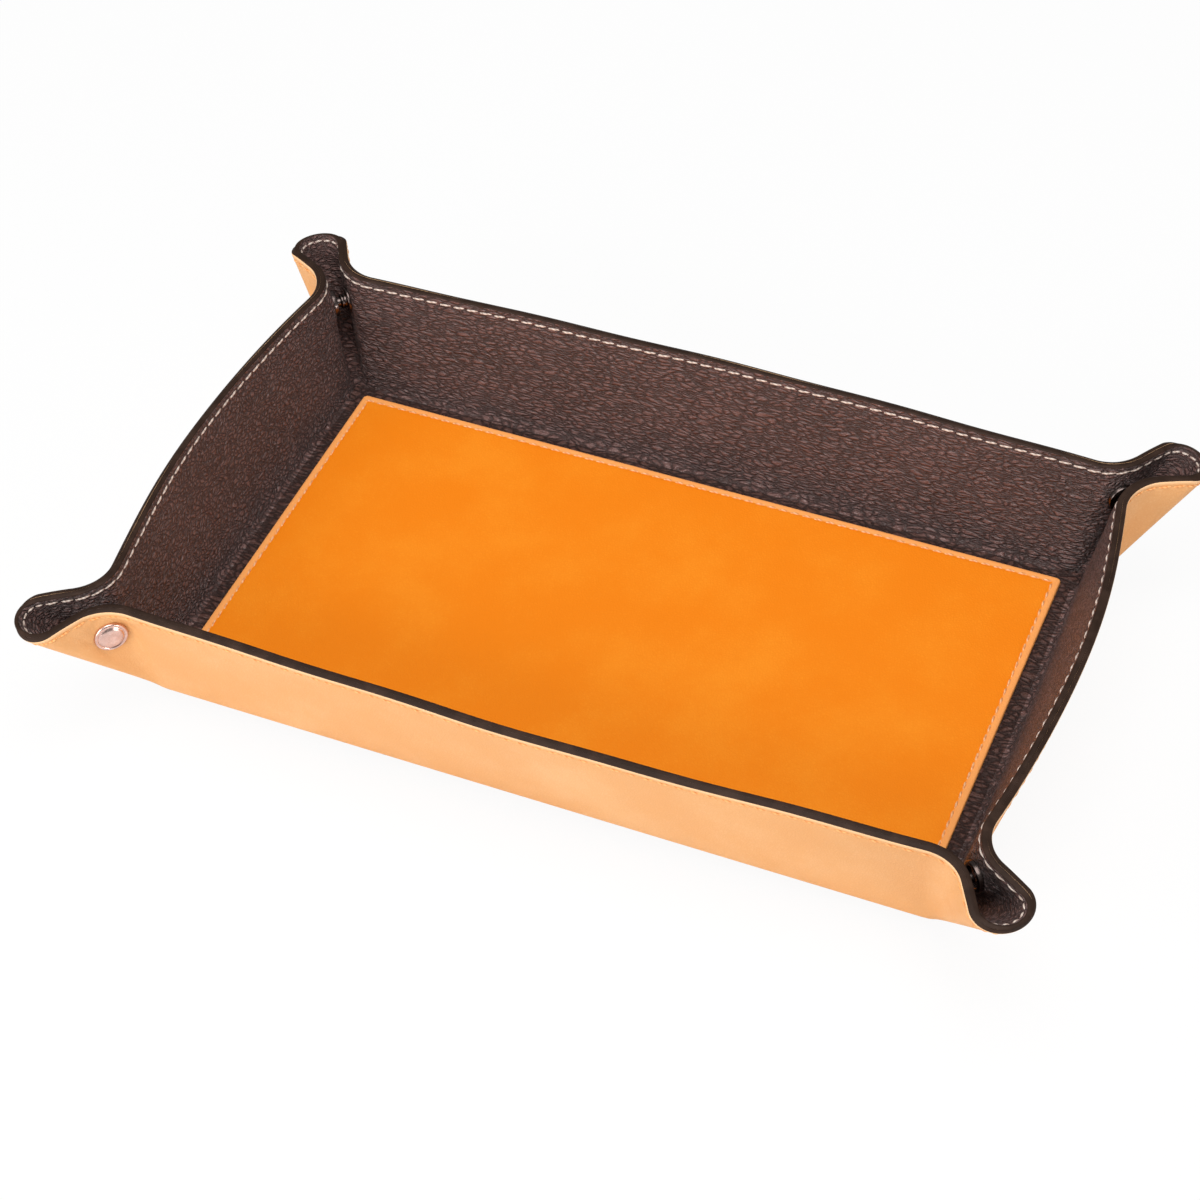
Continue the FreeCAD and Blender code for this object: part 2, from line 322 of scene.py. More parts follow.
    def ruling(self, place: float) -> tuple[np.ndarray, np.ndarray]:
        """The straight line up the sheet at one place, on the glue line.

        Args:
            place: The place along the half corner.

        Returns:
            Its lowest and highest points.
        """
        at = np.array([place])
        return np.append(self.foot(at, 0.0)[0], 0.0), np.append(self.rim(at, 0.0)[0], self.sizes.rim_height)


@dataclass(frozen=True)
class SnapSeat:
    """Where a press stud goes through a corner, measured along and across the diagonal in millimetres."""

    along: float
    outer_face: float
    inner_face: float
    height: float
    flat_radius: float = 5.1
    eased_radius: float = 8.6

    @classmethod
    def narrowest(cls, half: HalfCorner) -> "SnapSeat":
        """Finds the seat at the narrowest place of a neck.

        Args:
            half: The half corner that sets the place for both sides.

        Returns:
            The seat.
        """
        sizes = half.sizes
        share = sizes.snap_height / sizes.rim_height
        places = np.linspace(1.0, 2.0, 101)
        faces = []
        for offset in (sizes.leather, -sizes.leather):
            foot, rim = half.foot(places, offset), half.rim(places, offset)
            points = foot + (rim - foot) * share - sizes.corner
            best = int(np.argmin(points @ half.aside))
            faces.append((float(points[best] @ half.aside), float(points[best] @ DIAGONAL)))
        return cls(faces[0][1], faces[0][0], faces[1][0], sizes.snap_height)


@dataclass(frozen=True)
class WallFace:
    """The visible face of one leather on one wall and its two half ears.

    Places below 0 are on the wall's left or front half. A level counts from 0 on the floor to 1 where the
    crease's bend ends and 2 at the rim.

    Attributes:
        half: The half corner at the wall's ends.
        layer: The leather.
        side: Which way the wall faces along its axis.
        seat: Where the press studs are.
        press_ends: Places between which the press stud's flat seat fades out, before the ear's bend.
        foot_drops: Places between which the lining's foot stops lying on the floor and points down.
        foot_depth: Height in millimetres that it then goes down to.
        trim_rounds: How many rounds find the curve that trims the ears.
    """

    half: HalfCorner
    layer: Layer
    side: int
    seat: SnapSeat
    press_ends: tuple[float, float] = (2.5, 2.95)
    foot_drops: tuple[float, float] = (0.97, 1.1)
    foot_depth: float = 0.8
    trim_rounds: int = 40

    @property
    def offset(self) -> float:
        """How far the face is from the glue line, outwards."""
        leather = self.half.sizes.leather
        return leather if self.layer is Layer.OUTER else -leather

    @property
    def floor(self) -> float:
        """The height of the flat leather that the crease bends up from."""
        return 0.0 if self.layer is Layer.OUTER else self.half.sizes.floor_top

    def turned(self, points: np.ndarray, place: np.ndarray) -> np.ndarray:
        """Mirrors points from the positive quarter to their own.

        Args:
            points: Points in the positive quarter.
            place: The place of each, whose sign says which end of the wall it is at.

        Returns:
            The mirrored points.
        """
        ends = np.where(place < 0, -1.0, 1.0)
        sides = np.full(len(place), float(self.side))
        signs = (ends, sides) if self.half.beside_long else (sides, ends)
        return np.stack([points[:, 0] * signs[0], points[:, 1] * signs[1], points[:, 2]], -1)

    def trimmed(self, foot: np.ndarray, rim: np.ndarray) -> np.ndarray:
        """How much of each ruling is left below the curve that trims the ears."""
        sizes = self.half.sizes
        start = (foot - sizes.corner) @ DIAGONAL - sizes.neck_along
        travel = (rim - foot) @ DIAGONAL
        length = sizes.ear_reach + sizes.leather - sizes.neck_along
        radius = (length**2 + sizes.ear_drop**2) / (2.0 * sizes.ear_drop)
        share = np.ones(len(foot))
        for _ in range(self.trim_rounds):
            reach = np.clip(start + travel * share, 0.0, radius)
            share = 1.0 - (radius - np.sqrt(radius**2 - reach**2)) / sizes.rim_height
        return share

    @property
    def capped_end(self) -> int:
        """The end of the wall that carries a press stud's cap."""
        return self.side if self.half.beside_long else -self.side

    def ruled(self, place: np.ndarray) -> tuple[np.ndarray, ...]:
        """The crease and the straight line above it at each place.

        The rim is cut square to the leaning leather, so the outer face is a little shorter than the lining's.

        Args:
            place: Places in the positive quarter.

        Returns:
            The crease's point, the way it faces, the line's direction, the bend's reach and the straight
            length left.
        """
        sizes = self.half.sizes
        foot, rim = self.half.foot(place, self.offset), self.half.rim(place, self.offset)
        line = np.column_stack([rim - foot, np.full(len(place), sizes.rim_height)])
        length = np.linalg.norm(line, axis=1)
        direction = line / length[:, None]
        start = self.floor / sizes.rim_height
        crease = np.column_stack([foot, np.zeros(len(place))]) + line * start
        facing = np.column_stack([self.half.foot_direction(place), np.zeros(len(place))])
        bend = np.arccos(np.clip(np.sum(facing * direction, axis=1), -1.0, 1.0))
        reach = sizes.crease_radius * np.tan(bend / 2.0)
        lean = np.sum((self.half.rim(place, self.offset + 1.0) - rim) * direction[:, :2], axis=1)
        square = self.offset * lean / np.hypot(lean, direction[:, 2])
        straight = length * (self.trimmed(foot, rim) - start) - reach - square
        return crease, facing, direction, reach, straight

    def straight(self, place: np.ndarray) -> np.ndarray:
        """The length from the crease's bend to the rim at each place."""
        return self.ruled(np.abs(place))[4]

    def rippled(self, points: np.ndarray, facing: np.ndarray) -> np.ndarray:
        """Adds slight waves, about 45 to 120 mm long and higher towards the rim."""
        x, y, z = points.T
        wave = np.sin(0.052 * x + 0.9) * np.cos(0.071 * y - 0.4) + 0.6 * np.sin(0.115 * x - 0.083 * y + 2.0)
        size = self.half.sizes.ripple * smooth_step(z, 4.0, self.half.sizes.rim_height)
        return points + facing * (wave * size)[:, None]

    def pressed(self, points: np.ndarray, place: np.ndarray) -> np.ndarray:
        """Presses the leather flat around the press stud, but not outside where no cap is."""
        outer = self.layer is Layer.OUTER
        plane = self.seat.outer_face if outer else self.seat.inner_face
        plan = points[:, :2] - self.half.sizes.corner
        across = plan @ self.half.aside
        away = np.hypot(plan @ DIAGONAL - self.seat.along, points[:, 2] - self.seat.height)
        hold = 1.0 - smooth_step(away, self.seat.flat_radius, self.seat.eased_radius)
        hold *= (place * self.capped_end > 0) | (not outer)
        hold *= 1.0 - smooth_step(np.abs(place), *self.press_ends)
        moved = points.copy()
        moved[:, :2] += np.outer((plane - across) * hold, self.half.aside)
        return moved

    def at(self, place: np.ndarray, level: np.ndarray) -> np.ndarray:
        """Points of the face.

        Args:
            place: Places along the wall.
            level: Levels from the floor to the rim.

        Returns:
            One point in millimetres for each pair.
        """
        crease, facing, direction, reach, straight = self.ruled(np.abs(place))
        share = np.clip(level, 0.0, 1.0)[:, None]
        high = crease + direction * reach[:, None]
        low = crease - facing * reach[:, None]
        if self.layer is Layer.LINING:
            past = smooth_step(np.abs(place), *self.foot_drops)[:, None]
            drop = (self.floor - self.foot_depth) / direction[:, 2]
            low += (crease - direction * drop[:, None] - low) * past
        bend = (1 - share) ** 2 * low + 2 * share * (1 - share) * crease + share**2 * high
        above = high + direction * ((level - 1.0) * straight)[:, None]
        points = self.pressed(np.where((level < 1.0)[:, None], bend, above), place)
        return self.rippled(self.turned(points, place), self.turned(facing, place))

    def normal(self, place: np.ndarray, level: np.ndarray) -> np.ndarray:
        """The way the face looks, out of the leather.

        Args:
            place: Places along the wall.
            level: Levels from the floor to the rim.

        Returns:
            One unit vector for each pair.
        """
        step = 0.001
        along = self.at(place + step, level) - self.at(place - step, level)
        up = self.at(place, level + step) - self.at(place, level - step)
        outward = -self.side if self.half.beside_long else self.side
        return unit(np.cross(along, up)) * (outward if self.layer is Layer.OUTER else -outward)


@dataclass(frozen=True)
class Turn:
    """Where the leather bends between two bodies, in millimetres in the positive quarter."""

    start: np.ndarray
    end: np.ndarray

    def past_start(self, points: np.ndarray) -> np.ndarray:
        """How far points are past the start, towards the end."""
        return (points - self.start) @ (self.end - self.start)

    def mirrored(self, sides: tuple[int, int]) -> tuple[Vector, Vector]:
        """The start and end in metres, at another corner."""
        signs = np.array([*sides, 1.0]) * MM
        return Vector(self.start * signs), Vector(self.end * signs)


@dataclass(frozen=True)
class Profile:
    """The rows of points around one leather's cross-section.

    They go up its face, over its painted edge and down its back.

    Attributes:
        bend: Levels of the rows in the crease's bend.
        lower: Levels of the rows above it, up to the strip under the rim.
        upper: Width of that strip, in which rows keep their distance from the rim.
        strip: Distance from the rim and depth of each row in the strip, with the groove for the stitches.
        edge: The same over the rounded and painted edge.
        back: Level and depth of each row on the glued side, which is thinner where the fold is tight.
        seam_away: Distance of the stitches from the rim.
        burnish: Width of the strip along the rim that gets a painted highlight.
        shrinking: Levels between which depths start to shrink as the leather leans.
    """

    bend: tuple[float, ...] = (0.0, 0.2, 0.4, 0.6, 0.8, 1.0)
    lower: tuple[float, ...] = (1.14, 1.28, 1.42, 1.56, 1.70, 1.85, 2.0)
    upper: float = 7.0
    strip: Pairs = (
        *((5.8, 0.0), (4.6, 0.0), (3.6, 0.0), (3.15, 0.02), (2.85, 0.08), (2.6, 0.17)),
        *((2.35, 0.22), (2.1, 0.17), (1.85, 0.08), (1.5, 0.01), (1.1, -0.02), (0.75, 0.0)),
    )
    edge: Pairs = ((0.5, 0.04), (0.25, 0.16), (0.08, 0.4), (0.0, 0.75), (-0.06, 1.1), (-0.08, 1.48))
    back: Pairs = ((1.8, 1.3), (1.5, 0.9), (1.2, 0.7), (1.0, 0.8), (0.6, 1.0), (0.3, 1.2), (0.0, 1.2))
    seam_away: float = 2.35
    # Width of the strip with the painted highlight along the rim.
    burnish: float = 2.5
    shrinking: tuple[float, float] = (0.6, 1.2)

    @cached_property
    def near_rim(self) -> np.ndarray:
        """How near each row is to the rim: 1 at it, and 0 from the inner edge of the strip with the painted
        highlight on.
        """
        away = np.nan_to_num(self.rows[:, 1], nan=self.burnish)
        return np.clip(1.0 - away / self.burnish, 0.0, 1.0)

    @cached_property
    def rows(self) -> np.ndarray:
        """Level, distance from the rim (or nan) and depth of each row, in order around the cross-section."""
        made = [(level, math.nan, 0.0) for level in self.bend + self.lower]
        made += [(2.0, away, deep) for away, deep in self.strip + self.edge]
        made += [(level, math.nan, deep) for level, deep in self.back]
        return np.array(made)

    def painted(self, layer: Layer) -> list[bool]:
        """Whether the face that starts at each row is painted: on the outer leather only the edge's top.

        Args:
            layer: The leather.

        Returns:
            One mark for each row.
        """
        start = len(self.bend) + len(self.lower) + len(self.strip)
        stop = start + len(self.edge) - 1
        first = start + 1 if layer is Layer.OUTER else start
        return [first <= row < stop for row in range(len(self.rows))]

    def levels(self, face: WallFace, place: np.ndarray) -> np.ndarray:
        """The level of every row on a face.

        Args:
            face: The face that the rows are on.
            place: Places along the wall, with one column for each row.

        Returns:
            Levels in the same layout.
        """
        level, away = (np.broadcast_to(column, place.shape) for column in self.rows.T[:2])
        straight = face.straight(place.ravel()).reshape(place.shape)
        lower = np.where(level <= 1.0, level, 1.0 + (level - 1.0) * (1.0 - self.upper / straight))
        return np.where(np.isnan(away), lower, 2.0 - away / straight)

    def points(self, face: WallFace, place: np.ndarray) -> np.ndarray:
        """Every row's points on a face.

        Depths shrink as the leather leans, so that both backs meet at the glue line.

        Args:
            face: The face that the rows are on.
            place: Places along the wall, with one column for each row.

        Returns:
            Points in millimetres, in the same layout.
        """
        flat, level = place.ravel(), self.levels(face, place).ravel()
        normal = face.normal(flat, level)
        upright = np.hypot(normal[:, 0], normal[:, 1])
        shrunk = 1.0 + (upright - 1.0) * smooth_step(level, *self.shrinking)
        depth = np.broadcast_to(self.rows[:, 2], place.shape).ravel() * shrunk
        points = face.at(flat, level) - normal * depth[:, None]
        return points.reshape(place.shape + (3,))


class Signal:
    """A node's value that takes part in Python expressions, each of which adds its Math nodes."""

    def __init__(self, graph: "Graph", socket: bpy.types.NodeSocket) -> None:
        """Wraps one output socket of a node tree."""
        self.graph = graph
        self.socket = socket

    def math(self, operation: str, first: Number, second: Number) -> "Signal":
        """Adds one Math node.

        Args:
            operation: What the node does.
            first: Its first value.
            second: Its second value.

        Returns:
            The result.
        """
        return self.graph.node("ShaderNodeMath", {"operation": operation}, {0: first, 1: second})

    def __add__(self, other: Number) -> "Signal":
        """This plus another."""
        return self.math("ADD", self, other)

    def __radd__(self, other: Number) -> "Signal":
        """Another plus this."""
        return self.math("ADD", other, self)

    def __sub__(self, other: Number) -> "Signal":
        """This less another."""
        return self.math("SUBTRACT", self, other)

    def __rsub__(self, other: Number) -> "Signal":
        """Another less this."""
        return self.math("SUBTRACT", other, self)

    def __mul__(self, other: Number) -> "Signal":
        """This times another."""
        return self.math("MULTIPLY", self, other)

    def __truediv__(self, other: Number) -> "Signal":
        """This over another."""
        return self.math("DIVIDE", self, other)

    def eased(self, low: float, high: float) -> "Signal":
        """Eases from 0 at one value to 1 at another."""
        return self.graph.node(
            "ShaderNodeMapRange",
            {"interpolation_type": "SMOOTHSTEP"},
            {"Value": self, "From Min": low, "From Max": high},
        )

    def between(self, first: Union[Colour, "Signal"], second: Union[Colour, "Signal"]) -> "Signal":
        """Mixes two colours, the first where this is 0 and the second where it is 1.

        Args:
            first: A colour.
            second: Another.

        Returns:
            The mixed colour.
        """
        return self.graph.node(
            "ShaderNodeMix",
            {"data_type": "RGBA"},
            {"Factor": self, 6: first, 7: second},
            output=2,
        )


class Graph:
    """A node tree whose nodes are added through one method."""

    def __init__(self, tree: bpy.types.NodeTree) -> None:
        """Takes over an empty tree."""
        self.tree = tree

    def feed(self, socket: bpy.types.NodeSocket, value: Any) -> None:
        """Links a signal to a socket, or sets a plain value on it."""
        if isinstance(value, Signal):
            self.tree.links.new(value.socket, socket)
        elif socket.type == "RGBA" and len(value) == 3:
            socket.default_value = (*value, 1.0)
        else:
            socket.default_value = value

    def node(
        self,
        kind: str,
        settings: Mapping[str, Any] = {},
        inputs: Mapping[Union[int, str], Any] = {},
        output: Union[int, str] = 0,
    ) -> Signal:
        """Adds a node.

        Args:
            kind: The node's type.
            settings: Its own settings, which are set first.
            inputs: Values or links for its sockets.
            output: Which of its outputs is wanted.

        Returns:
            That output.
        """
        made = self.tree.nodes.new(kind)
        for key, value in settings.items():
            setattr(made, key, value)
        for key, value in inputs.items():
            self.feed(made.inputs[key], value)
        return Signal(self, made.outputs[output])


class Shader(Graph):
    """A material, with the patterns that its finishes share."""

    def __init__(self, name: str) -> None:
        """Starts a material with an output."""
        self.material = bpy.data.materials.new(name)
        self.material.use_nodes = True
        super().__init__(self.material.node_tree)
        self.tree.nodes.clear()
        self.output = self.tree.nodes.new("ShaderNodeOutputMaterial")

    def place(self, scale: Colour = (1.0, 1.0, 1.0)) -> Signal:
        """Object coordinates in metres, stretched where a pattern is."""
        coordinates = self.node("ShaderNodeTexCoord", output="Object")
        return self.node("ShaderNodeMapping", {}, {"Vector": coordinates, "Scale": scale})

    def noise(self, place: Signal, scale: float, detail: float = 3.0, output: str = "Fac") -> Signal:
        """Cloudy noise, with features about one over the scale across."""
        inputs = {"Vector": place, "Scale": scale, "Detail": detail, "Roughness": 0.55}
        return self.node("ShaderNodeTexNoise", {}, inputs, output)

    def cells(self, place: Signal, scale: float) -> Signal:
        """How far each point is inside the cell around one of many scattered points."""
        inputs = {"Vector": place, "Scale": scale}
        return self.node("ShaderNodeTexVoronoi", {"feature": "DISTANCE_TO_EDGE"}, inputs, "Distance")

    def jogged(self, place: Signal, scale: float, amount: float) -> Signal:
        """Coordinates pushed about by noise, so that a pattern isn't even."""
        push = self.noise(place, scale, 2.0, "Color")
        centred = self.node("ShaderNodeVectorMath", {"operation": "SUBTRACT"}, {0: push, 1: (0.5, 0.5, 0.5)})
        sized = self.node("ShaderNodeVectorMath", {"operation": "SCALE"}, {0: centred, "Scale": amount})
        return self.node("ShaderNodeVectorMath", {"operation": "ADD"}, {0: place, 1: sized})

    def attribute(self, name: str) -> Signal:
        """A value that the mesh carries at its points."""
        return self.node("ShaderNodeAttribute", {"attribute_name": name}, {}, "Fac")

    def bump(self, height: Signal, strength: float, distance: float) -> Signal:
        """A normal that follows a height, whose full range is a distance in metres."""
        inputs = {"Height": height, "Strength": strength, "Distance": distance}
        return self.node("ShaderNodeBump", {}, inputs)

    def surface(self, **inputs: Any) -> bpy.types.Material:
        """Ends the material in a Principled surface.

        Args:
            inputs: Values or links by socket name, with spaces written as underscores.

        Returns:
            The material.
        """
        named = {key.replace("_", " "): value for key, value in inputs.items()}
        made = self.node("ShaderNodeBsdfPrincipled", {}, named)
        self.tree.links.new(made.socket, self.output.inputs["Surface"])
        return self.material


@dataclass(frozen=True)
class SmoothLeather:
    """Dyed leather with a fine grain: cloudy colour, small pores and a lighter band along its edge, which is
    a painted highlight on the rounded edge.
    """

    name: str
    colour: Colour
    deep: Colour
    # Colour of the painted highlight along the rounded edge.
    burnish: Colour
    roughness: float
    shine: float
    grain: float = 1100.0

    def build(self) -> bpy.types.Material:
        """Makes the material."""
        shader = Shader(self.name)
        place = shader.place()
        cloud = shader.noise(place, 38.0, 4.0)
        fine = shader.noise(place, 900.0, 3.0)
        pores = shader.cells(shader.jogged(place, 700.0, 0.0006), self.grain)
        pull = shader.noise(place, 140.0, 2.0)
        tone = (cloud * 0.7 + fine * 0.15 + pores * 0.3).eased(0.36, 0.72)
        dyed = tone.between(self.deep, self.colour)
        # The lighter band along the rim is a painted highlight on the leather's rounded edge.
        highlight_share = shader.attribute("near_rim").eased(0.3, 0.9) * 0.8
        shade = highlight_share.between(dyed, self.burnish)
        height = pores.eased(0.0, 0.3) * 0.7 + fine * 0.5
        return shader.surface(
            Base_Color=shade,
            Roughness=self.roughness + (pull - 0.5) * 0.16 + (fine - 0.5) * 0.12,
            Normal=shader.bump(height, 0.35, 0.00014),
            Specular_IOR_Level=self.shine,
        )


@dataclass(frozen=True)
class PebbledLeather:
    """Soft leather with a pebbled grain that is drawn out along the hide, with painted shade in its creases.
    """

    name: str
    colour: Colour
    # Colour of the painted shade in the grain's creases.
    crease: Colour
    roughness: float
    shine: float
    pebbles: float = 1050.0
    stretch: Colour = (0.27, 0.55, 1.0)

    def build(self) -> bpy.types.Material:
        """Makes the material."""
        shader = Shader(self.name)
        place = shader.place(self.stretch)
        large = shader.cells(shader.jogged(place, 320.0, 0.0026), self.pebbles)
        small = shader.cells(shader.jogged(place, 800.0, 0.0009), self.pebbles * 2.1)
        cloud = shader.noise(shader.place(), 55.0, 3.0)
        fine = shader.noise(place, 2600.0, 2.0)
        raised = large.eased(0.0, 0.3)
        height = raised * 0.8 + small.eased(0.0, 0.25) * 0.3 + fine * 0.1
        lit = (raised * 0.7 + small * 0.3 + cloud * 0.5).eased(0.25, 1.0)
        return shader.surface(
            # Darker towards the crease colour between the raised pebbles: painted shade, mixed with random
            # tone.
            Base_Color=lit.between(self.crease, self.colour),
            Roughness=self.roughness + (1.0 - raised) * 0.16 + (cloud - 0.5) * 0.1,
            Normal=shader.bump(height, 1.0, 0.0008),
            Specular_IOR_Level=self.shine,
        )


@dataclass(frozen=True)
class EdgePaint:
    """Paint on the cut edge, laid on by hand and a little uneven."""

    name: str
    colour: Colour
    thin: Colour

    def build(self) -> bpy.types.Material:
        """Makes the material."""
        shader = Shader(self.name)
        place = shader.place()
        cloud = shader.noise(place, 240.0, 3.0)
        grit = shader.noise(place, 2200.0, 2.0)
        return shader.surface(
            Base_Color=cloud.eased(0.35, 0.75).between(self.colour, self.thin),
            Roughness=0.58 + (cloud - 0.5) * 0.22,
            Normal=shader.bump(cloud * 0.7 + grit * 0.3, 0.4, 0.00016),
            Specular_IOR_Level=0.15,
        )


@dataclass(frozen=True)
class Thread:
    """Waxed sewing thread with a twist."""

    name: str
    colour: Colour
    shade: Colour
    ply: float = 2100.0

    def build(self) -> bpy.types.Material:
        """Makes the material."""
        shader = Shader(self.name)
        place = shader.place()
        twist = shader.node(
            "ShaderNodeTexWave",
            {"wave_type": "BANDS", "bands_direction": "DIAGONAL"},
            {"Vector": place, "Scale": self.ply / 6.3, "Distortion": 1.2, "Detail": 1.0},
            "Fac",
        )
        cloud = shader.noise(place, 190.0, 2.0)
        return shader.surface(
            Base_Color=(twist * 0.55 + cloud * 0.45).eased(0.15, 0.75).between(self.shade, self.colour),
            Roughness=0.62 + (cloud - 0.5) * 0.15,
            Normal=shader.bump(twist, 0.5, 0.00008),
        )


@dataclass(frozen=True)
class PlatedMetal:
    """Plated metal, polished and lightly handled."""

    name: str
    colour: Colour
    tint: Colour

    def build(self) -> bpy.types.Material:
        """Makes the material."""
        shader = Shader(self.name)
        place = shader.place()
        cloud = shader.noise(place, 420.0, 4.0)
        rub = shader.noise(shader.place((1.0, 1.0, 9.0)), 1500.0, 2.0)
        return shader.surface(
            Base_Color=cloud.eased(0.3, 0.75).between(self.colour, self.tint),
            Metallic=1.0,
            Roughness=0.2 + cloud * 0.12 + (rub - 0.5) * 0.1,
            Normal=shader.bump(rub, 0.12, 0.00004),
        )


@dataclass(frozen=True)
class Fibreboard:
    """Grey-brown pressed board with flecks."""

    name: str
    colour: Colour
    fleck: Colour

    def build(self) -> bpy.types.Material:
        """Makes the material."""
        shader = Shader(self.name)
        place = shader.place((0.3, 1.0, 1.0))
        fibres = shader.noise(place, 900.0, 4.0)
        return shader.surface(
            Base_Color=fibres.eased(0.4, 0.7).between(self.colour, self.fleck),
            Roughness=0.8 + (fibres - 0.5) * 0.2,
            Normal=shader.bump(fibres, 0.4, 0.0002),
        )


class Finish(Enum):
    """Every finish on the tray."""

    # Each smooth leather's third colour is a painted highlight on its rounded edge.
    OUTER = SmoothLeather(
        "smooth_outer_hide", (0.76, 0.42, 0.185), (0.71, 0.345, 0.125), (0.88, 0.56, 0.31), 0.5, 0.3
    )
    PANEL = SmoothLeather(
        "smooth_panel_hide", (0.97, 0.288, 0.014), (0.93, 0.236, 0.006), (0.97, 0.42, 0.135), 0.55, 0.12
    )
    # Each pebbled lining's second colour is painted shade in its grain's creases.
    LINING = PebbledLeather("pebbled_lining_hide", (0.175, 0.087, 0.075), (0.045, 0.018, 0.014), 0.42, 0.8)
    # A darker, duller copy of the lining for the floor: painted shade where the floor lies between the walls.
    FLOOR_LINING = PebbledLeather("pebbled_floor_hide", (0.1, 0.045, 0.035), (0.03, 0.012, 0.009), 0.5, 0.4)
    EDGE = EdgePaint("edge_paint", (0.026, 0.013, 0.008), (0.045, 0.024, 0.016))
    CREAM_THREAD = Thread("cream_thread", (0.74, 0.62, 0.54), (0.46, 0.34, 0.28))
    ORANGE_THREAD = Thread("orange_thread", (0.93, 0.46, 0.17), (0.72, 0.28, 0.08))
    PEACH_THREAD = Thread("peach_thread", (0.94, 0.52, 0.26), (0.8, 0.32, 0.1))
    METAL = PlatedMetal("polished_snap_metal", (0.62, 0.4, 0.34), (0.78, 0.56, 0.5))
    # A darker copy of the snap metal: painted shade for the parts inside the neck.
    DARK_METAL = PlatedMetal("dark_snap_metal", (0.1, 0.075, 0.068), (0.16, 0.125, 0.115))
    BOARD = Fibreboard("pressed_board", (0.42, 0.36, 0.29), (0.3, 0.25, 0.2))

    @property
    def material(self) -> bpy.types.Material:
        """The finish's material, made when it is first asked for."""
        return bpy.data.materials.get(self.value.name) or self.value.build()


def finished_mesh(
    name: str, points: np.ndarray, faces: Sequence[Sequence[int]], finishes: Sequence[Finish]
) -> bpy.types.Mesh:
    """Makes a closed mesh with outward faces, smooth apart from its sharp edges.

    Args:
        name: The mesh's name.
        points: Its points in millimetres.
        faces: Point numbers of each face.
        finishes: The finishes it may wear, the first of them everywhere until faces are given another.

    Returns:
        The mesh, in metres.
    """
    mesh = bpy.data.meshes.new(name)
    mesh.from_pydata((np.asarray(points).reshape(-1, 3) * MM).tolist(), [], faces)
    work = bmesh.new()
    work.from_mesh(mesh)
    bmesh.ops.recalc_face_normals(work, faces=work.faces)
    work.to_mesh(mesh)
    work.free()
    for finish in finishes:
        mesh.materials.append(finish.material)
    mesh.shade_smooth()
    mesh.set_sharp_from_angle(angle=SHARP_EDGE)
    return mesh


def mark_rim(mesh: bpy.types.Mesh, near: np.ndarray) -> None:
    """Writes how near each point is to its leather's edge, where the smooth finishes paint a highlight."""
    mesh.attributes.new("near_rim", "FLOAT", "POINT").data.foreach_set("value", near)


def shown(name: str, mesh: bpy.types.Mesh) -> bpy.types.Object:
    """Puts a mesh into the scene as a piece."""
    piece = bpy.data.objects.new(name, mesh)
    bpy.context.scene.collection.objects.link(piece)
    LOG.info("%s: %d points", name, len(mesh.vertices))
    return piece


def ring_faces(rings: int, around: int, wrapped: bool) -> list[list[int]]:
    """Faces between rings of points.

    Args:
        rings: How many rings there are.
        around: How many points each ring has.
        wrapped: Whether the last ring joins the first; otherwise the first and last ring are filled.

    Returns:
        Point numbers of each face, ring by ring, and the two fills last.
    """
    grid = np.arange(rings * around).reshape(rings, around)
    ahead = np.roll(grid, -1, axis=0) if wrapped else grid[1:]
    here = grid if wrapped else grid[:-1]
    quads = np.stack([here, ahead, np.roll(ahead, -1, axis=1), np.roll(here, -1, axis=1)], -1)
    faces = quads.reshape(-1, 4).tolist()
    return faces if wrapped else faces + [grid[0].tolist(), grid[-1][::-1].tolist()]


@dataclass(frozen=True)
class Section:
    """A stretch of one leather between two bends, from one body to another.

    Attributes:
        name: The solid that it stands for.
        face: The leather's visible face.
        places: Places along the wall, by column and row.
        bodies: The body before the bend and the one after it; not used.
        bend: Where the bend starts and ends, in metres; not used.
        pitch: Distance between its stitches, which are closer where the leather turns tightly.
    """

    name: str
    face: WallFace
    places: np.ndarray
    bodies: tuple[str, str]
    bend: tuple[Vector, Vector]
    pitch: float = 4.3

    def build(self, profile: Profile) -> bpy.types.Object:
        """Makes the leather with its rounded and painted edge.

        Args:
            profile: The leather's cross-section.

        Returns:
            The piece.
        """
        points = profile.points(self.face, self.places)
        columns, rows = self.places.shape
        outer = self.face.layer is Layer.OUTER
        finishes = (Finish.OUTER if outer else Finish.LINING, Finish.EDGE)
        mesh = finished_mesh(self.name, points, ring_faces(columns, rows, False), finishes)
        painted = profile.painted(self.face.layer) * (columns - 1) + [False, False]
        mesh.polygons.foreach_set("material_index", [int(mark) for mark in painted])
        mark_rim(mesh, np.tile(profile.near_rim, columns))
        piece = shown(self.name + "_skin", mesh)
        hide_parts(self.name)
        return self.moved(piece)

    def moved(self, piece: bpy.types.Object) -> bpy.types.Object:
        """Bakes a piece's placement into its mesh."""
        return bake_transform(piece)

    def seam(self, profile: Profile, away: float) -> tuple[np.ndarray, np.ndarray]:
        """The line that the stitches follow.

        Args:
            profile: The leather's cross-section, in which a row has that distance from the rim.
            away: The line's distance from the rim.

        Returns:
            Its points in millimetres, and the way the leather faces at each.
        """
        row = int(np.nanargmin(np.abs(profile.rows[:, 1] - away)))
        place = self.places[:, row]
        level = profile.levels(self.face, self.places)[:, row]
        normal = self.face.normal(place, level)
        return self.face.at(place, level) - normal * profile.rows[row, 2], normal


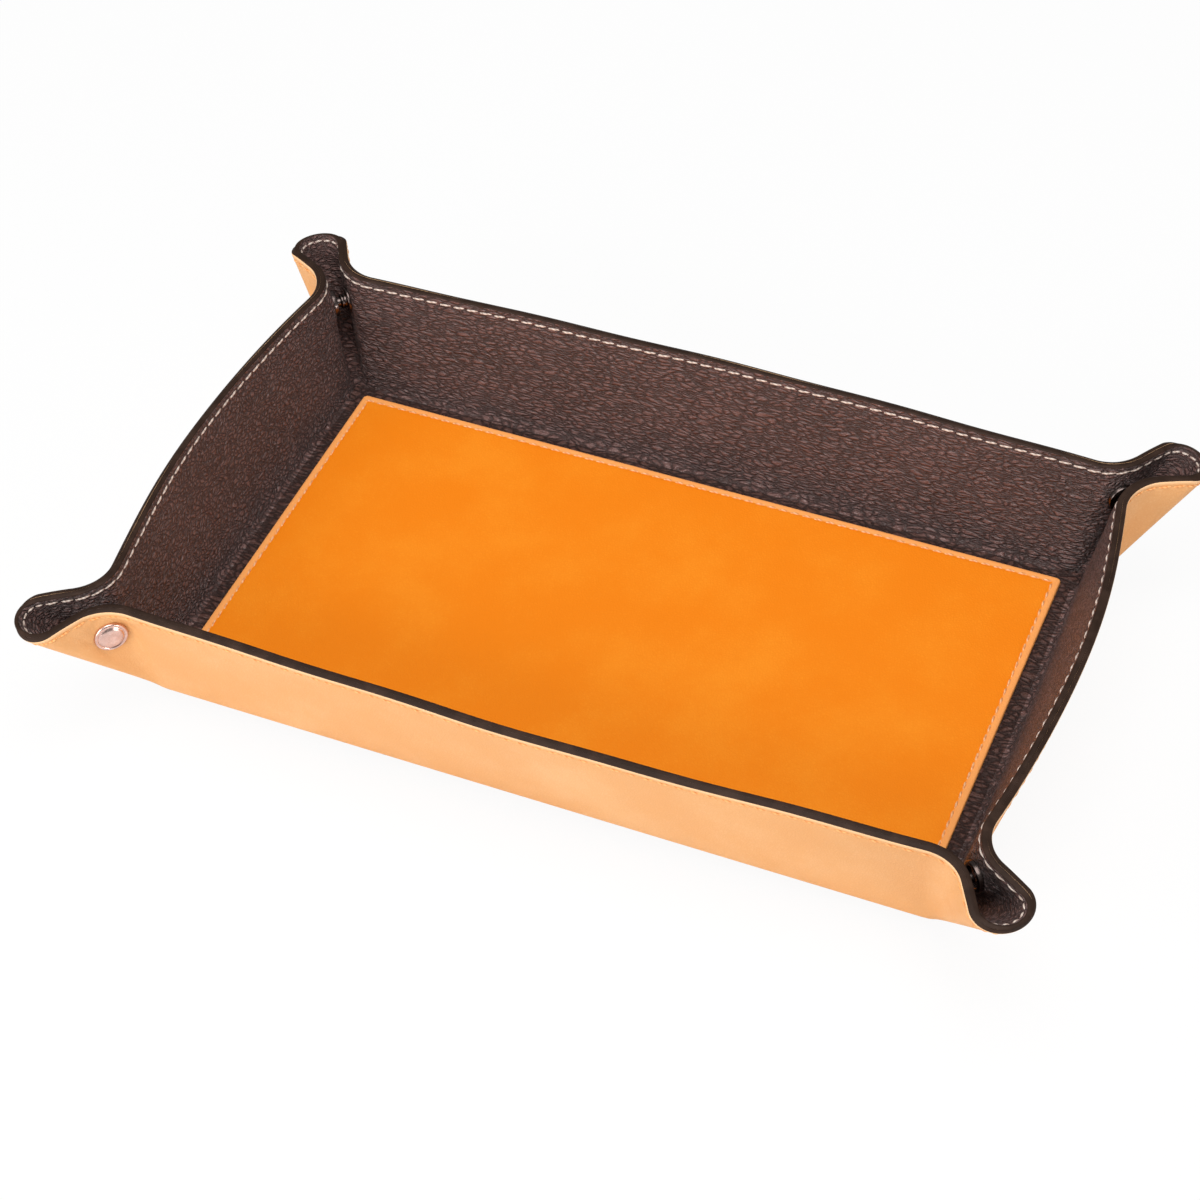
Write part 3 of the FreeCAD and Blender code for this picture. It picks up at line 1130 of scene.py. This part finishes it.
@dataclass(frozen=True)
class FoldedSheet:
    """The double leather sheet that makes the walls and the four ears.

    Attributes:
        sizes: Sizes of the fold.
        profile: Each leather's cross-section.
        creases: How far out from the base's edge, and how high, each leather's crease starts and ends.
        neck_first: Place before which no neck's bend starts.
        neck_end: Place where a neck's bend ends, before the press stud.
        neck_length: Length of that bend.
        neck_level: Share of the sheet's height at which that length is measured.
        halvings: How many times the range of places is halved to find where the bend starts.
        ear_gap: Distance past the lining at which an ear's bend starts.
        ear_length: Length of that bend.
        ear_pitch: Distance between stitches on an ear's round end.
        stitch_share: Length of a stitch over the distance to the next.
        wall_columns: How many columns of points a wall has.
        neck_columns: The same for a neck.
        ear_columns: The same for an ear's round end.
    """

    sizes: SheetSizes = field(default_factory=SheetSizes)
    profile: Profile = field(default_factory=Profile)
    creases: tuple[Pairs, Pairs] = (((0.0, -0.5), (2.2, 2.6)), ((-2.4, 4.4), (1.5, 9.0)))
    neck_first: float = 0.4
    neck_end: float = 1.36
    neck_length: float = 10.0
    neck_level: float = 0.7
    halvings: int = 32
    ear_gap: float = 0.2
    ear_length: float = 1.0
    ear_pitch: float = 2.8
    stitch_share: float = 0.98
    wall_columns: int = 161
    neck_columns: int = 65
    ear_columns: int = 41

    def half(self, wall: Wall) -> HalfCorner:
        """The half corner beside a wall."""
        return HalfCorner(self.sizes, wall.beside_long)

    @cached_property
    def seat(self) -> SnapSeat:
        """Where the press studs go through the corners."""
        return SnapSeat.narrowest(self.half(Wall.FRONT))

    def crease(self, wall: Wall, layer: Layer) -> Turn:
        """Where a wall bends up from the floor, at the outer face or the lining."""
        half = self.half(wall)
        edge = float(half.outward @ self.sizes.corner)
        rows = self.creases[layer is Layer.LINING]
        return Turn(*(np.array([*(half.outward * (edge + out)), up]) for out, up in rows))

    def neck(self, wall: Wall) -> Turn:
        """Where a neck straightens, square to the line up the sheet where its bend ends."""
        half = self.half(wall)
        step = 0.01
        low, high = half.ruling(self.neck_end)
        ahead = half.ruling(self.neck_end + step)[1] - half.ruling(self.neck_end - step)[1]
        line = unit(high - low)
        across = unit(ahead - line * float(ahead @ line))
        middle = low + (high - low) * self.neck_level
        return Turn(middle - across * self.neck_length, middle)

    def ear(self, wall: Wall) -> Turn:
        """Where an ear's round end opens: past the lining's line at its start, across the diagonal."""
        half = self.half(wall)
        place = np.array([EAR_START])
        low = np.append(half.foot(place, -self.sizes.leather)[0], 0.0)
        high = np.append(half.rim(place, -self.sizes.leather)[0], self.sizes.rim_height)
        across = unit(np.cross(high - low, np.append(DIAGONAL, 0.0)))
        across *= -np.sign(across[:2] @ half.aside)
        start = low + across * self.ear_gap
        return Turn(start, start + across * self.ear_length)

    def neck_starts(self, face: WallFace, wall: Wall, end: int) -> np.ndarray:
        """The place on every row where a neck's bend starts.

        Args:
            face: The leather's face.
            wall: Its wall.
            end: Which end of the wall.

        Returns:
            One place for each row.
        """
        turn = self.neck(wall)
        signs = np.array([*wall.sides(end), 1.0])
        count = len(self.profile.rows)
        low, high = np.full(count, self.neck_first), np.full(count, self.neck_end)
        for _ in range(self.halvings):
            middle = (low + high) / 2.0
            points = self.profile.points(face, end * middle[None, :])[0] * signs
            past = turn.past_start(points) > 0.0
            low, high = np.where(past, low, middle), np.where(past, middle, high)
        return end * (low + high) / 2.0

    def spread(self, first: np.ndarray, last: np.ndarray, columns: int, crowded: bool) -> np.ndarray:
        """Places between two rows of places.

        Args:
            first: The first column's places.
            last: The last column's.
            columns: How many columns there are.
            crowded: Whether the columns are closer together at both ends.

        Returns:
            Places by column and row.
        """
        share = np.linspace(0.0, 1.0, columns)
        if crowded:
            share = 0.5 * share + 0.25 * (1.0 - np.cos(math.pi * share))
        return first + (last - first) * share[:, None]

    def sections(self, wall: Wall, layer: Layer) -> list[Section]:
        """One leather of a wall, its two necks and its two half ears.

        Args:
            wall: The wall.
            layer: The leather.

        Returns:
            The sections.
        """
        face = WallFace(self.half(wall), layer, wall.side, self.seat)
        starts = {end: self.neck_starts(face, wall, end) for end in (-1, 1)}
        rows = np.ones(len(self.profile.rows))
        body = wall.value + "_wall"
        made = [
            Section(
                f"{body}_{layer.value}",
                face,
                self.spread(starts[-1], starts[1], self.wall_columns, True),
                ("base", body),
                self.crease(wall, layer).mirrored((wall.side, wall.side)),
            )
        ]
        for end in (-1, 1):
            half_ear = f"{wall.corner(end).label}_{wall.value}"
            made.append(
                Section(
                    f"{half_ear}_flap_{layer.value}",
                    face,
                    self.spread(starts[end], rows * EAR_START * end, self.neck_columns, False),
                    (body, half_ear + "_flap"),
                    self.neck(wall).mirrored(wall.sides(end)),
                )
            )
            made.append(
                Section(
                    f"{half_ear}_tip_{layer.value}",
                    face,
                    self.spread(rows * EAR_START * end, rows * RIDGE * end, self.ear_columns, False),
                    (half_ear + "_flap", half_ear + "_tip"),
                    self.ear(wall).mirrored(wall.sides(end)),
                    self.ear_pitch,
                )
            )
        return made

    def build(self, stitching: "Stitching") -> None:
        """Makes both leathers of every wall and sews them along the rim.

        Args:
            stitching: What lays the stitches.
        """
        for wall in Wall:
            for layer in Layer:
                thread = Finish.ORANGE_THREAD if layer is Layer.OUTER else Finish.CREAM_THREAD
                for section in self.sections(wall, layer):
                    section.build(self.profile)
                    points, up = section.seam(self.profile, self.profile.seam_away)
                    sizes = {"Pitch": section.pitch, "Length": section.pitch * self.stitch_share}
                    section.moved(stitching.sewn(section.name + "_stitches", points, up, thread, **sizes))


class Stitching(Graph):
    """The node tree that lays stitches along a line, their sizes in millimetres and slant in radians."""

    SIZES: Mapping[str, float] = {
        "Pitch": 4.3,
        "Length": 4.2,
        "Sink": 0.42,
        "Rise": 0.74,
        "Thread radius": 0.32,
    }
    SLANT = 0.09

    def __init__(self) -> None:
        """Builds the tree."""
        super().__init__(bpy.data.node_groups.new("stitches", "GeometryNodeTree"))
        self.keys: dict[str, str] = {}
        self.socket("Line", "NodeSocketGeometry")
        for name in self.SIZES:
            self.socket(name, "NodeSocketFloat")
        self.socket("Slant", "NodeSocketFloat")
        self.socket("Seed", "NodeSocketInt")
        self.socket("Finish", "NodeSocketMaterial")
        self.tree.interface.new_socket("Stitches", in_out="OUTPUT", socket_type="NodeSocketGeometry")
        self.entry = self.tree.nodes.new("NodeGroupInput")
        self.wire()

    def socket(self, name: str, kind: str) -> None:
        """Adds a named input and keeps its identifier."""
        self.keys[name] = self.tree.interface.new_socket(name, in_out="INPUT", socket_type=kind).identifier

    def given(self, name: str) -> Signal:
        """One of the tree's inputs."""
        return Signal(self, self.entry.outputs[name])

    def point(self, x: Number, z: Number) -> Signal:
        """A point of the stitch, which lies along x and stands up along z."""
        return self.node("ShaderNodeCombineXYZ", {}, {"X": x, "Z": z})

    def stitch(self) -> Signal:
        """One stitch: a short bowed thread whose ends go down into their holes."""
        half = self.given("Length") * 0.5
        under = self.given("Sink") * -1.0
        bow = self.node(
            "GeometryNodeCurveQuadraticBezier",
            {},
            {
                "Resolution": 6,
                "Start": self.point(half * -1.0, under),
                "Middle": self.point(0.0, self.given("Rise")),
                "End": self.point(half, under),
            },
        )
        round_off = {"Resolution": 6, "Radius": self.given("Thread radius")}
        ring = self.node("GeometryNodeCurvePrimitiveCircle", {}, round_off)
        swept = {"Curve": bow, "Profile Curve": ring, "Fill Caps": True}
        thread = self.node("GeometryNodeCurveToMesh", {}, swept)
        return self.node("GeometryNodeSetShadeSmooth", {}, {"Geometry": thread})

    def wire(self) -> None:
        """Joins the nodes: points at even steps, turned along the line and up from the leather."""
        line = self.node("GeometryNodeMeshToCurve", {}, {"Mesh": self.given("Line")})
        length = self.node("GeometryNodeCurveLength", {}, {"Curve": line})
        rounded = self.node("ShaderNodeMath", {"operation": "ROUND"}, {0: length / self.given("Pitch")})
        count = self.node("ShaderNodeMath", {"operation": "MAXIMUM"}, {0: rounded, 1: 2.0})
        margin = length / count * 0.5
        inner = self.node(
            "GeometryNodeTrimCurve", {"mode": "LENGTH"}, {"Curve": line, 4: margin, 5: length - margin}
        )
        laid = self.tree.nodes.new("GeometryNodeCurveToPoints")
        laid.mode = "COUNT"
        self.feed(laid.inputs["Curve"], inner)
        self.feed(laid.inputs["Count"], count)
        tangent = Signal(self, laid.outputs["Tangent"])
        ahead = self.node("FunctionNodeAlignRotationToVector", {"axis": "X"}, {"Vector": tangent})
        up = self.node("GeometryNodeInputNamedAttribute", {"data_type": "FLOAT_VECTOR"}, {"Name": "up"})
        upright = self.node(
            "FunctionNodeAlignRotationToVector",
            {"axis": "Z", "pivot_axis": "X"},
            {"Rotation": ahead, "Vector": up},
        )
        lean = self.node("ShaderNodeCombineXYZ", {}, {"Z": self.given("Slant")})
        leaning = self.node(
            "FunctionNodeRotateRotation",
            {"rotation_space": "LOCAL"},
            {"Rotation": upright, "Rotate By": self.node("FunctionNodeEulerToRotation", {}, {"Euler": lean})},
        )
        uneven = self.node(
            "FunctionNodeRandomValue",
            {"data_type": "FLOAT_VECTOR"},
            {0: (0.92, 0.92, 0.9), 1: (1.04, 1.06, 1.06), "Seed": self.given("Seed")},
        )
        placed = self.node(
            "GeometryNodeInstanceOnPoints",
            {},
            {
                "Points": Signal(self, laid.outputs["Points"]),
                "Instance": self.stitch(),
                "Rotation": leaning,
                "Scale": uneven,
            },
        )
        solid = self.node("GeometryNodeRealizeInstances", {}, {"Geometry": placed})
        highlight_share = {"Geometry": solid, "Material": self.given("Finish")}
        dressed = self.node("GeometryNodeSetMaterial", {}, highlight_share)
        out = self.tree.nodes.new("NodeGroupOutput")
        self.feed(out.inputs["Stitches"], dressed)

    def sewn(
        self, name: str, points: np.ndarray, up: np.ndarray, thread: Finish, **changed: float
    ) -> bpy.types.Object:
        """Sews along a line.

        Args:
            name: The stitches' name.
            points: The line's points in millimetres.
            up: The way the leather faces at each.
            thread: The thread's finish.
            changed: Sizes in millimetres that differ from the usual ones, by input name.

        Returns:
            The stitches as one plain mesh, which rides on nothing yet.
        """
        mesh = bpy.data.meshes.new(name)
        edges = [(here, here + 1) for here in range(len(points) - 1)]
        mesh.from_pydata((points * MM).tolist(), edges, [])
        mesh.attributes.new("up", "FLOAT_VECTOR", "POINT").data.foreach_set("vector", up.ravel())
        piece = bpy.data.objects.new(name, mesh)
        bpy.context.scene.collection.objects.link(piece)
        laying = piece.modifiers.new("stitches", "NODES")
        laying.node_group = self.tree
        for size, value in {**self.SIZES, **changed}.items():
            laying[self.keys[size]] = value * MM
        laying[self.keys["Slant"]] = self.SLANT
        laying[self.keys["Seed"]] = len(name)
        laying[self.keys["Finish"]] = thread.material
        depsgraph = bpy.context.evaluated_depsgraph_get()
        made = bpy.data.meshes.new_from_object(piece.evaluated_get(depsgraph), depsgraph=depsgraph)
        piece.modifiers.remove(laying)
        piece.data = made
        made.name = name
        bpy.data.meshes.remove(mesh)
        LOG.info("%s: %d points", name, len(made.vertices))
        return piece


@dataclass(frozen=True)
class Plate:
    """A flat sheet of the floor with round corners, as rings from its underside to its top.

    Attributes:
        node: The solid that it stands for.
        finish: What it is made of.
        slot: The record's name for that; not used.
        half: Half its length and half its width.
        radius: Radius of its corners.
        rings: Inset and height of each ring.
        border: Width of a border with a painted highlight, if it has one.
        fade: Where that highlight starts and ends to fade, over the border's width.
    """

    node: str
    finish: Finish
    slot: str
    half: tuple[float, float]
    radius: float
    rings: Pairs
    border: float = 0.0
    fade: tuple[float, float] = (0.6, 1.3)

    def outline(self, inset: float, steps: int = 10) -> np.ndarray:
        """Points around the plate in plan.

        Args:
            inset: Distance in from its edge.
            steps: How many points each corner's arc is divided by.

        Returns:
            The points, once around.
        """
        radius = max(self.radius - inset, LEAST_RADIUS)
        sizes = np.array(self.half) - inset - radius
        turns = np.linspace(0.0, math.pi / 2.0, steps + 1)
        corners = []
        for quarter, signs in enumerate(((1, 1), (-1, 1), (-1, -1), (1, -1))):
            angle = turns + quarter * math.pi / 2.0
            corners.append(sizes * signs + radius * np.stack([np.cos(angle), np.sin(angle)], -1))
        return np.concatenate(corners)

    def build(self) -> bpy.types.Object:
        """Makes the plate on the base."""
        plans = [self.outline(inset) for inset, _ in self.rings]
        around = len(plans[0])
        rings = [np.column_stack([plan, np.full(around, up)]) for plan, (_, up) in zip(plans, self.rings)]
        faces = ring_faces(len(rings), around, False)
        mesh = finished_mesh(self.node, np.array(rings), faces, [self.finish])
        inset = np.repeat([inset for inset, _ in self.rings], around)
        near = np.zeros(len(inset))
        # The lighter border is a painted highlight on the plate's rounded edge.
        if self.border > 0.0:
            near = 1.0 - smooth_step(inset / self.border, *self.fade)
        mark_rim(mesh, near)
        piece = shown(self.node + "_skin", mesh)
        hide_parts(self.node)
        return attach(piece, "base")


@dataclass(frozen=True)
class Floor:
    """The base: outer leather, board, lining and the panel sewn on it.

    Attributes:
        underside: The outer leather.
        lining: The lining under the panel.
        panel: The panel, with a groove for its stitches.
        seam_inset: Distance of the stitches from the panel's edge.
        seam_height: Height of the groove's bottom.
        pitch: Distance between the stitches.
        stitch_length: Length of each.
    """

    underside: Plate = Plate(
        "base_leather",
        Finish.OUTER,
        "outer_leather",
        (115.0, 65.0),
        6.0,
        ((0.3, 0.0), (0.0, 0.2), (0.0, 1.5)),
    )
    lining: Plate = Plate(
        "base_lining",
        # The floor's lining wears the darker copy of the lining, which is painted shade.
        Finish.FLOOR_LINING,
        "lining_leather",
        (114.4, 64.4),
        1.5,
        ((0.0, 3.0), (0.0, 4.3), (0.1, 4.4)),
    )
    panel: Plate = Plate(
        "floor_panel",
        Finish.PANEL,
        "panel_leather",
        (109.6, 59.6),
        1.4,
        (
            *((0.0, 4.4), (0.0, 5.05), (0.06, 5.28), (0.2, 5.46), (0.45, 5.57), (0.8, 5.6), (1.3, 5.58)),
            *((1.65, 5.5), (1.9, 5.41), (2.1, 5.38), (2.3, 5.41), (2.55, 5.5), (2.9, 5.58), (3.6, 5.6)),
        ),
        # Width of the panel's painted highlight border.
        2.3,
    )
    seam_inset: float = 2.1
    seam_height: float = 5.38
    pitch: float = 3.6
    stitch_length: float = 3.0

    def build(self, stitching: Stitching) -> None:
        """Makes the floor and sews its panel.

        Args:
            stitching: What lays the stitches.
        """
        for plate in (self.underside, self.lining, self.panel):
            plate.build()
        plan = self.panel.outline(self.seam_inset)
        around = np.vstack([plan, plan[:1]])
        points = np.column_stack([around, np.full(len(around), self.seam_height)])
        up = np.tile([0.0, 0.0, 1.0], (len(points), 1))
        sizes = {"Pitch": self.pitch, "Length": self.stitch_length}
        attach(stitching.sewn("floor_panel_stitches", points, up, Finish.PEACH_THREAD, **sizes), "base")
        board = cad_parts["base_board"]
        board.data.materials.clear()
        board.data.materials.append(Finish.BOARD.material)


@dataclass(frozen=True)
class PressStud:
    """A corner's press stud, turned about an axis across the diagonal.

    Each profile lists radii and distances in millimetres. Those of the cap count outwards from the outer
    leather, those of the post outwards from the glue line, where its head is hidden, and those of the socket
    and stud inwards from the lining.

    Attributes:
        corner: Where it is.
        seat: Where it goes through the leather.
        around: How many points are around the axis.
        point: Radius at which a profile that reaches the axis ends.
        shank: Radius of the cap's and the post's shank.
        cap: The cap's profile.
        post: The post's.
        socket: The socket's.
        stud: The stud's.
        socket_depth: How far the cap's shank goes into the socket.
        stud_reach: How far the post's shank goes past the lining, into the stud.
    """

    corner: Corner
    seat: SnapSeat
    around: int = 56
    point: float = 0.02
    shank: float = 1.5
    cap: Pairs = (
        *((4.45, 0.0), (4.7, 0.1), (4.8, 0.34), (4.77, 0.62), (4.6, 0.93), (4.34, 1.1), (4.08, 1.12)),
        *((3.86, 1.03), (3.72, 0.92), (3.58, 0.95), (3.4, 1.12), (3.05, 1.33), (2.5, 1.5), (1.8, 1.62)),
        *((0.9, 1.69), (0.0, 1.7)),
    )
    post: Pairs = ((3.2, 0.0), (3.2, 0.35), (3.05, 0.5), (0.0, 0.5))
    socket: Pairs = (
        *((1.6, 0.0), (4.0, 0.0), (4.2, 0.18), (4.2, 1.2), (4.08, 1.42), (3.8, 1.5)),
        *((3.1, 1.5), (2.95, 1.36), (2.9, 1.1), (2.9, 0.7), (1.6, 0.7)),
    )
    stud: Pairs = (
        *((1.6, 0.0), (3.85, 0.0), (4.0, 0.15), (4.0, 0.5), (3.85, 0.68), (2.5, 0.7), (2.15, 0.86)),
        *((2.05, 1.2), (2.22, 1.7), (2.3, 2.0), (2.2, 2.3), (1.85, 2.5), (1.6, 2.52)),
    )
    socket_depth: float = 0.7
    stud_reach: float = 1.4

    def turned(self, name: str, wall: Wall, profile: np.ndarray) -> bpy.types.Object:
        """Turns a profile and puts it on its wall's half of the ear.

        Args:
            name: What the piece is called after the corner.
            wall: The wall on whose side of the diagonal it is.
            profile: Radii and distances from the diagonal. One that doesn't start on the axis is hollow.

        Returns:
            The piece.
        """
        sizes = SheetSizes()
        signs = np.array(self.corner.value[:2])
        aside = np.append(HalfCorner(sizes, wall.beside_long).aside * signs, 0.0)
        along = np.append(DIAGONAL * signs, 0.0)
        middle = np.append(sizes.corner * signs, self.seat.height) + along * self.seat.along
        angles = np.linspace(0.0, 2.0 * math.pi, self.around, endpoint=False)
        spokes = np.outer(np.cos(angles), along) + np.outer(np.sin(angles), (0.0, 0.0, 1.0))
        rings = [middle + aside * across + spokes * max(radius, self.point) for radius, across in profile]
        hollow = profile[0][0] > 0.0
        node = f"{self.corner.label}_{name}"
        faces = ring_faces(len(rings), self.around, hollow)
        # The socket, stud and post wear the darker copy of the metal, which is painted shade inside the neck.
        finish = Finish.METAL if name == "cap" else Finish.DARK_METAL
        piece = shown(node + "_turned", finished_mesh(node, np.array(rings), faces, [finish]))
        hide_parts(node)
        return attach(piece, f"{self.corner.label}_{wall.value}_flap")

    def riveted(self, head: Pairs, face: float, reach: float) -> np.ndarray:
        """A head with a shank, as distances from the diagonal.

        Args:
            head: The head's profile from the leather to its middle.
            face: How far from the diagonal that leather is.
            reach: How far from the diagonal the shank ends.

        Returns:
            The whole profile, from the shank's end to the head's middle.
        """
        shank = [(0.0, reach), (self.shank, reach), (self.shank, face)]
        return np.array(shank + [(radius, face + out) for radius, out in head])

    def build(self) -> None:
        """Makes the cap and socket on one half of the ear and the stud and post on the other."""
        capped, plain = self.corner.walls
        inner, outer = self.seat.inner_face, self.seat.outer_face
        post = self.riveted(self.post, (outer + inner) / 2.0, self.stud_reach - inner)
        self.turned("cap", capped, self.riveted(self.cap, outer, inner - self.socket_depth))
        self.turned("socket", capped, np.array([(radius, inner - deep) for radius, deep in self.socket]))
        self.turned("stud", plain, np.array([(radius, inner - deep) for radius, deep in self.stud]))
        self.turned("post", plain, post)


@dataclass(frozen=True)
class Lamp:
    """A square soft light that looks at the tray."""

    name: str
    place: Colour
    width: float
    power: float
    colour: Colour = (1.0, 1.0, 1.0)

    def build(self) -> None:
        """Hangs the lamp."""
        data = bpy.data.lights.new(self.name, "AREA")
        data.size = self.width
        data.energy = self.power
        data.color = self.colour
        lamp = bpy.data.objects.new(self.name, data)
        lamp.location = self.place
        lamp.rotation_euler = (-Vector(self.place)).to_track_quat("-Z", "Y").to_euler()
        bpy.context.scene.collection.objects.link(lamp)


@dataclass(frozen=True)
class Studio:
    """A white table and backdrop, soft lamps and the camera.

    Attributes:
        table_drop: How far the table is under the base, to clear the open tray's corners, which sag.
        table_glow: Share of the table's white that is its own, so that the shadow on it stays faint.
    """

    lamps: tuple[Lamp, ...] = (
        Lamp("key_lamp", (-0.5, -1.0, 0.36), 0.7, 9.6),
        Lamp("top_lamp", (0.1, -0.2, 1.2), 1.0, 13.0),
        Lamp("fill_lamp", (1.0, -0.35, 0.13), 0.24, 3.0),
    )
    ambient: float = 0.22
    table_colour: Colour = (0.86, 0.86, 0.86)
    table_drop: float = 0.0058
    table_glow: float = 0.92
    azimuth: float = 24.16
    elevation: float = 45.67
    roll: float = -2.18
    distance: float = 0.837
    target: Colour = (-0.00917, 0.00455, 0.0056)
    lens: float = 88.79

    def background(self, graph: Graph) -> Signal:
        """1 for what the camera sees directly, and 0 for light on the object."""
        return graph.node("ShaderNodeLightPath", output="Is Camera Ray")

    def build_table(self) -> None:
        """Makes the table, which keeps the tray's shadow on white."""
        shader = Shader("white_table")
        plain = shader.node("ShaderNodeBsdfDiffuse", {}, {"Color": self.table_colour})
        white = shader.node("ShaderNodeEmission", {}, {"Color": (1.0, 1.0, 1.0), "Strength": 1.0})
        lit = shader.node("ShaderNodeMixShader", {}, {0: self.table_glow, 1: plain, 2: white})
        mixed = shader.node("ShaderNodeMixShader", {}, {0: self.background(shader), 1: plain, 2: lit})
        shader.feed(shader.output.inputs["Surface"], mixed)
        mesh = bpy.data.meshes.new("table")
        reach = 4.0
        corners = [(-reach, -reach, 0.0), (reach, -reach, 0.0), (reach, reach, 0.0), (-reach, reach, 0.0)]
        mesh.from_pydata(corners, [], [(0, 1, 2, 3)])
        mesh.materials.append(shader.material)
        table = bpy.data.objects.new("table", mesh)
        table.location.z = -self.table_drop
        bpy.context.scene.collection.objects.link(table)

    def build_world(self) -> None:
        """Makes a white backdrop that lights the tray only softly."""
        world = bpy.data.worlds.new("studio")
        bpy.context.scene.world = world
        world.use_nodes = True
        world.node_tree.nodes.clear()
        graph = Graph(world.node_tree)
        strength = self.background(graph) * (1.0 - self.ambient) + self.ambient
        sky = graph.node("ShaderNodeBackground", {}, {"Color": (1.0, 1.0, 1.0), "Strength": strength})
        out = graph.tree.nodes.new("ShaderNodeOutputWorld")
        graph.feed(out.inputs["Surface"], sky)

    def build_camera(self) -> None:
        """Sets the camera where the photographer stood."""
        turn, rise, roll = (math.radians(angle) for angle in (self.azimuth, self.elevation, self.roll))
        back = Vector((math.sin(turn) * math.cos(rise), -math.cos(turn) * math.cos(rise), math.sin(rise)))
        level = Vector((math.cos(turn), math.sin(turn), 0.0))
        upward = back.cross(level)
        right = level * math.cos(roll) + upward * math.sin(roll)
        up = upward * math.cos(roll) - level * math.sin(roll)
        data = bpy.data.cameras.new("camera")
        data.lens = self.lens
        data.sensor_width = 36.0
        camera = bpy.data.objects.new("camera", data)
        stand = Matrix.Translation(Vector(self.target) + back * self.distance)
        camera.matrix_world = stand @ Matrix((right, up, back)).transposed().to_4x4()
        bpy.context.scene.collection.objects.link(camera)
        bpy.context.scene.camera = camera

    def build(self) -> None:
        """Sets up the whole studio."""
        bpy.context.scene.view_settings.view_transform = "Standard"
        self.build_table()
        self.build_world()
        for lamp in self.lamps:
            lamp.build()
        self.build_camera()


def main() -> None:
    """Builds the tray and its studio."""
    logging.basicConfig(level=logging.INFO, format="%(name)s %(message)s")
    Studio().build()
    stitching = Stitching()
    sheet = FoldedSheet()
    Floor().build(stitching)
    sheet.build(stitching)
    for corner in Corner:
        PressStud(corner, sheet.seat).build()


if __name__ == "__main__":
    main()
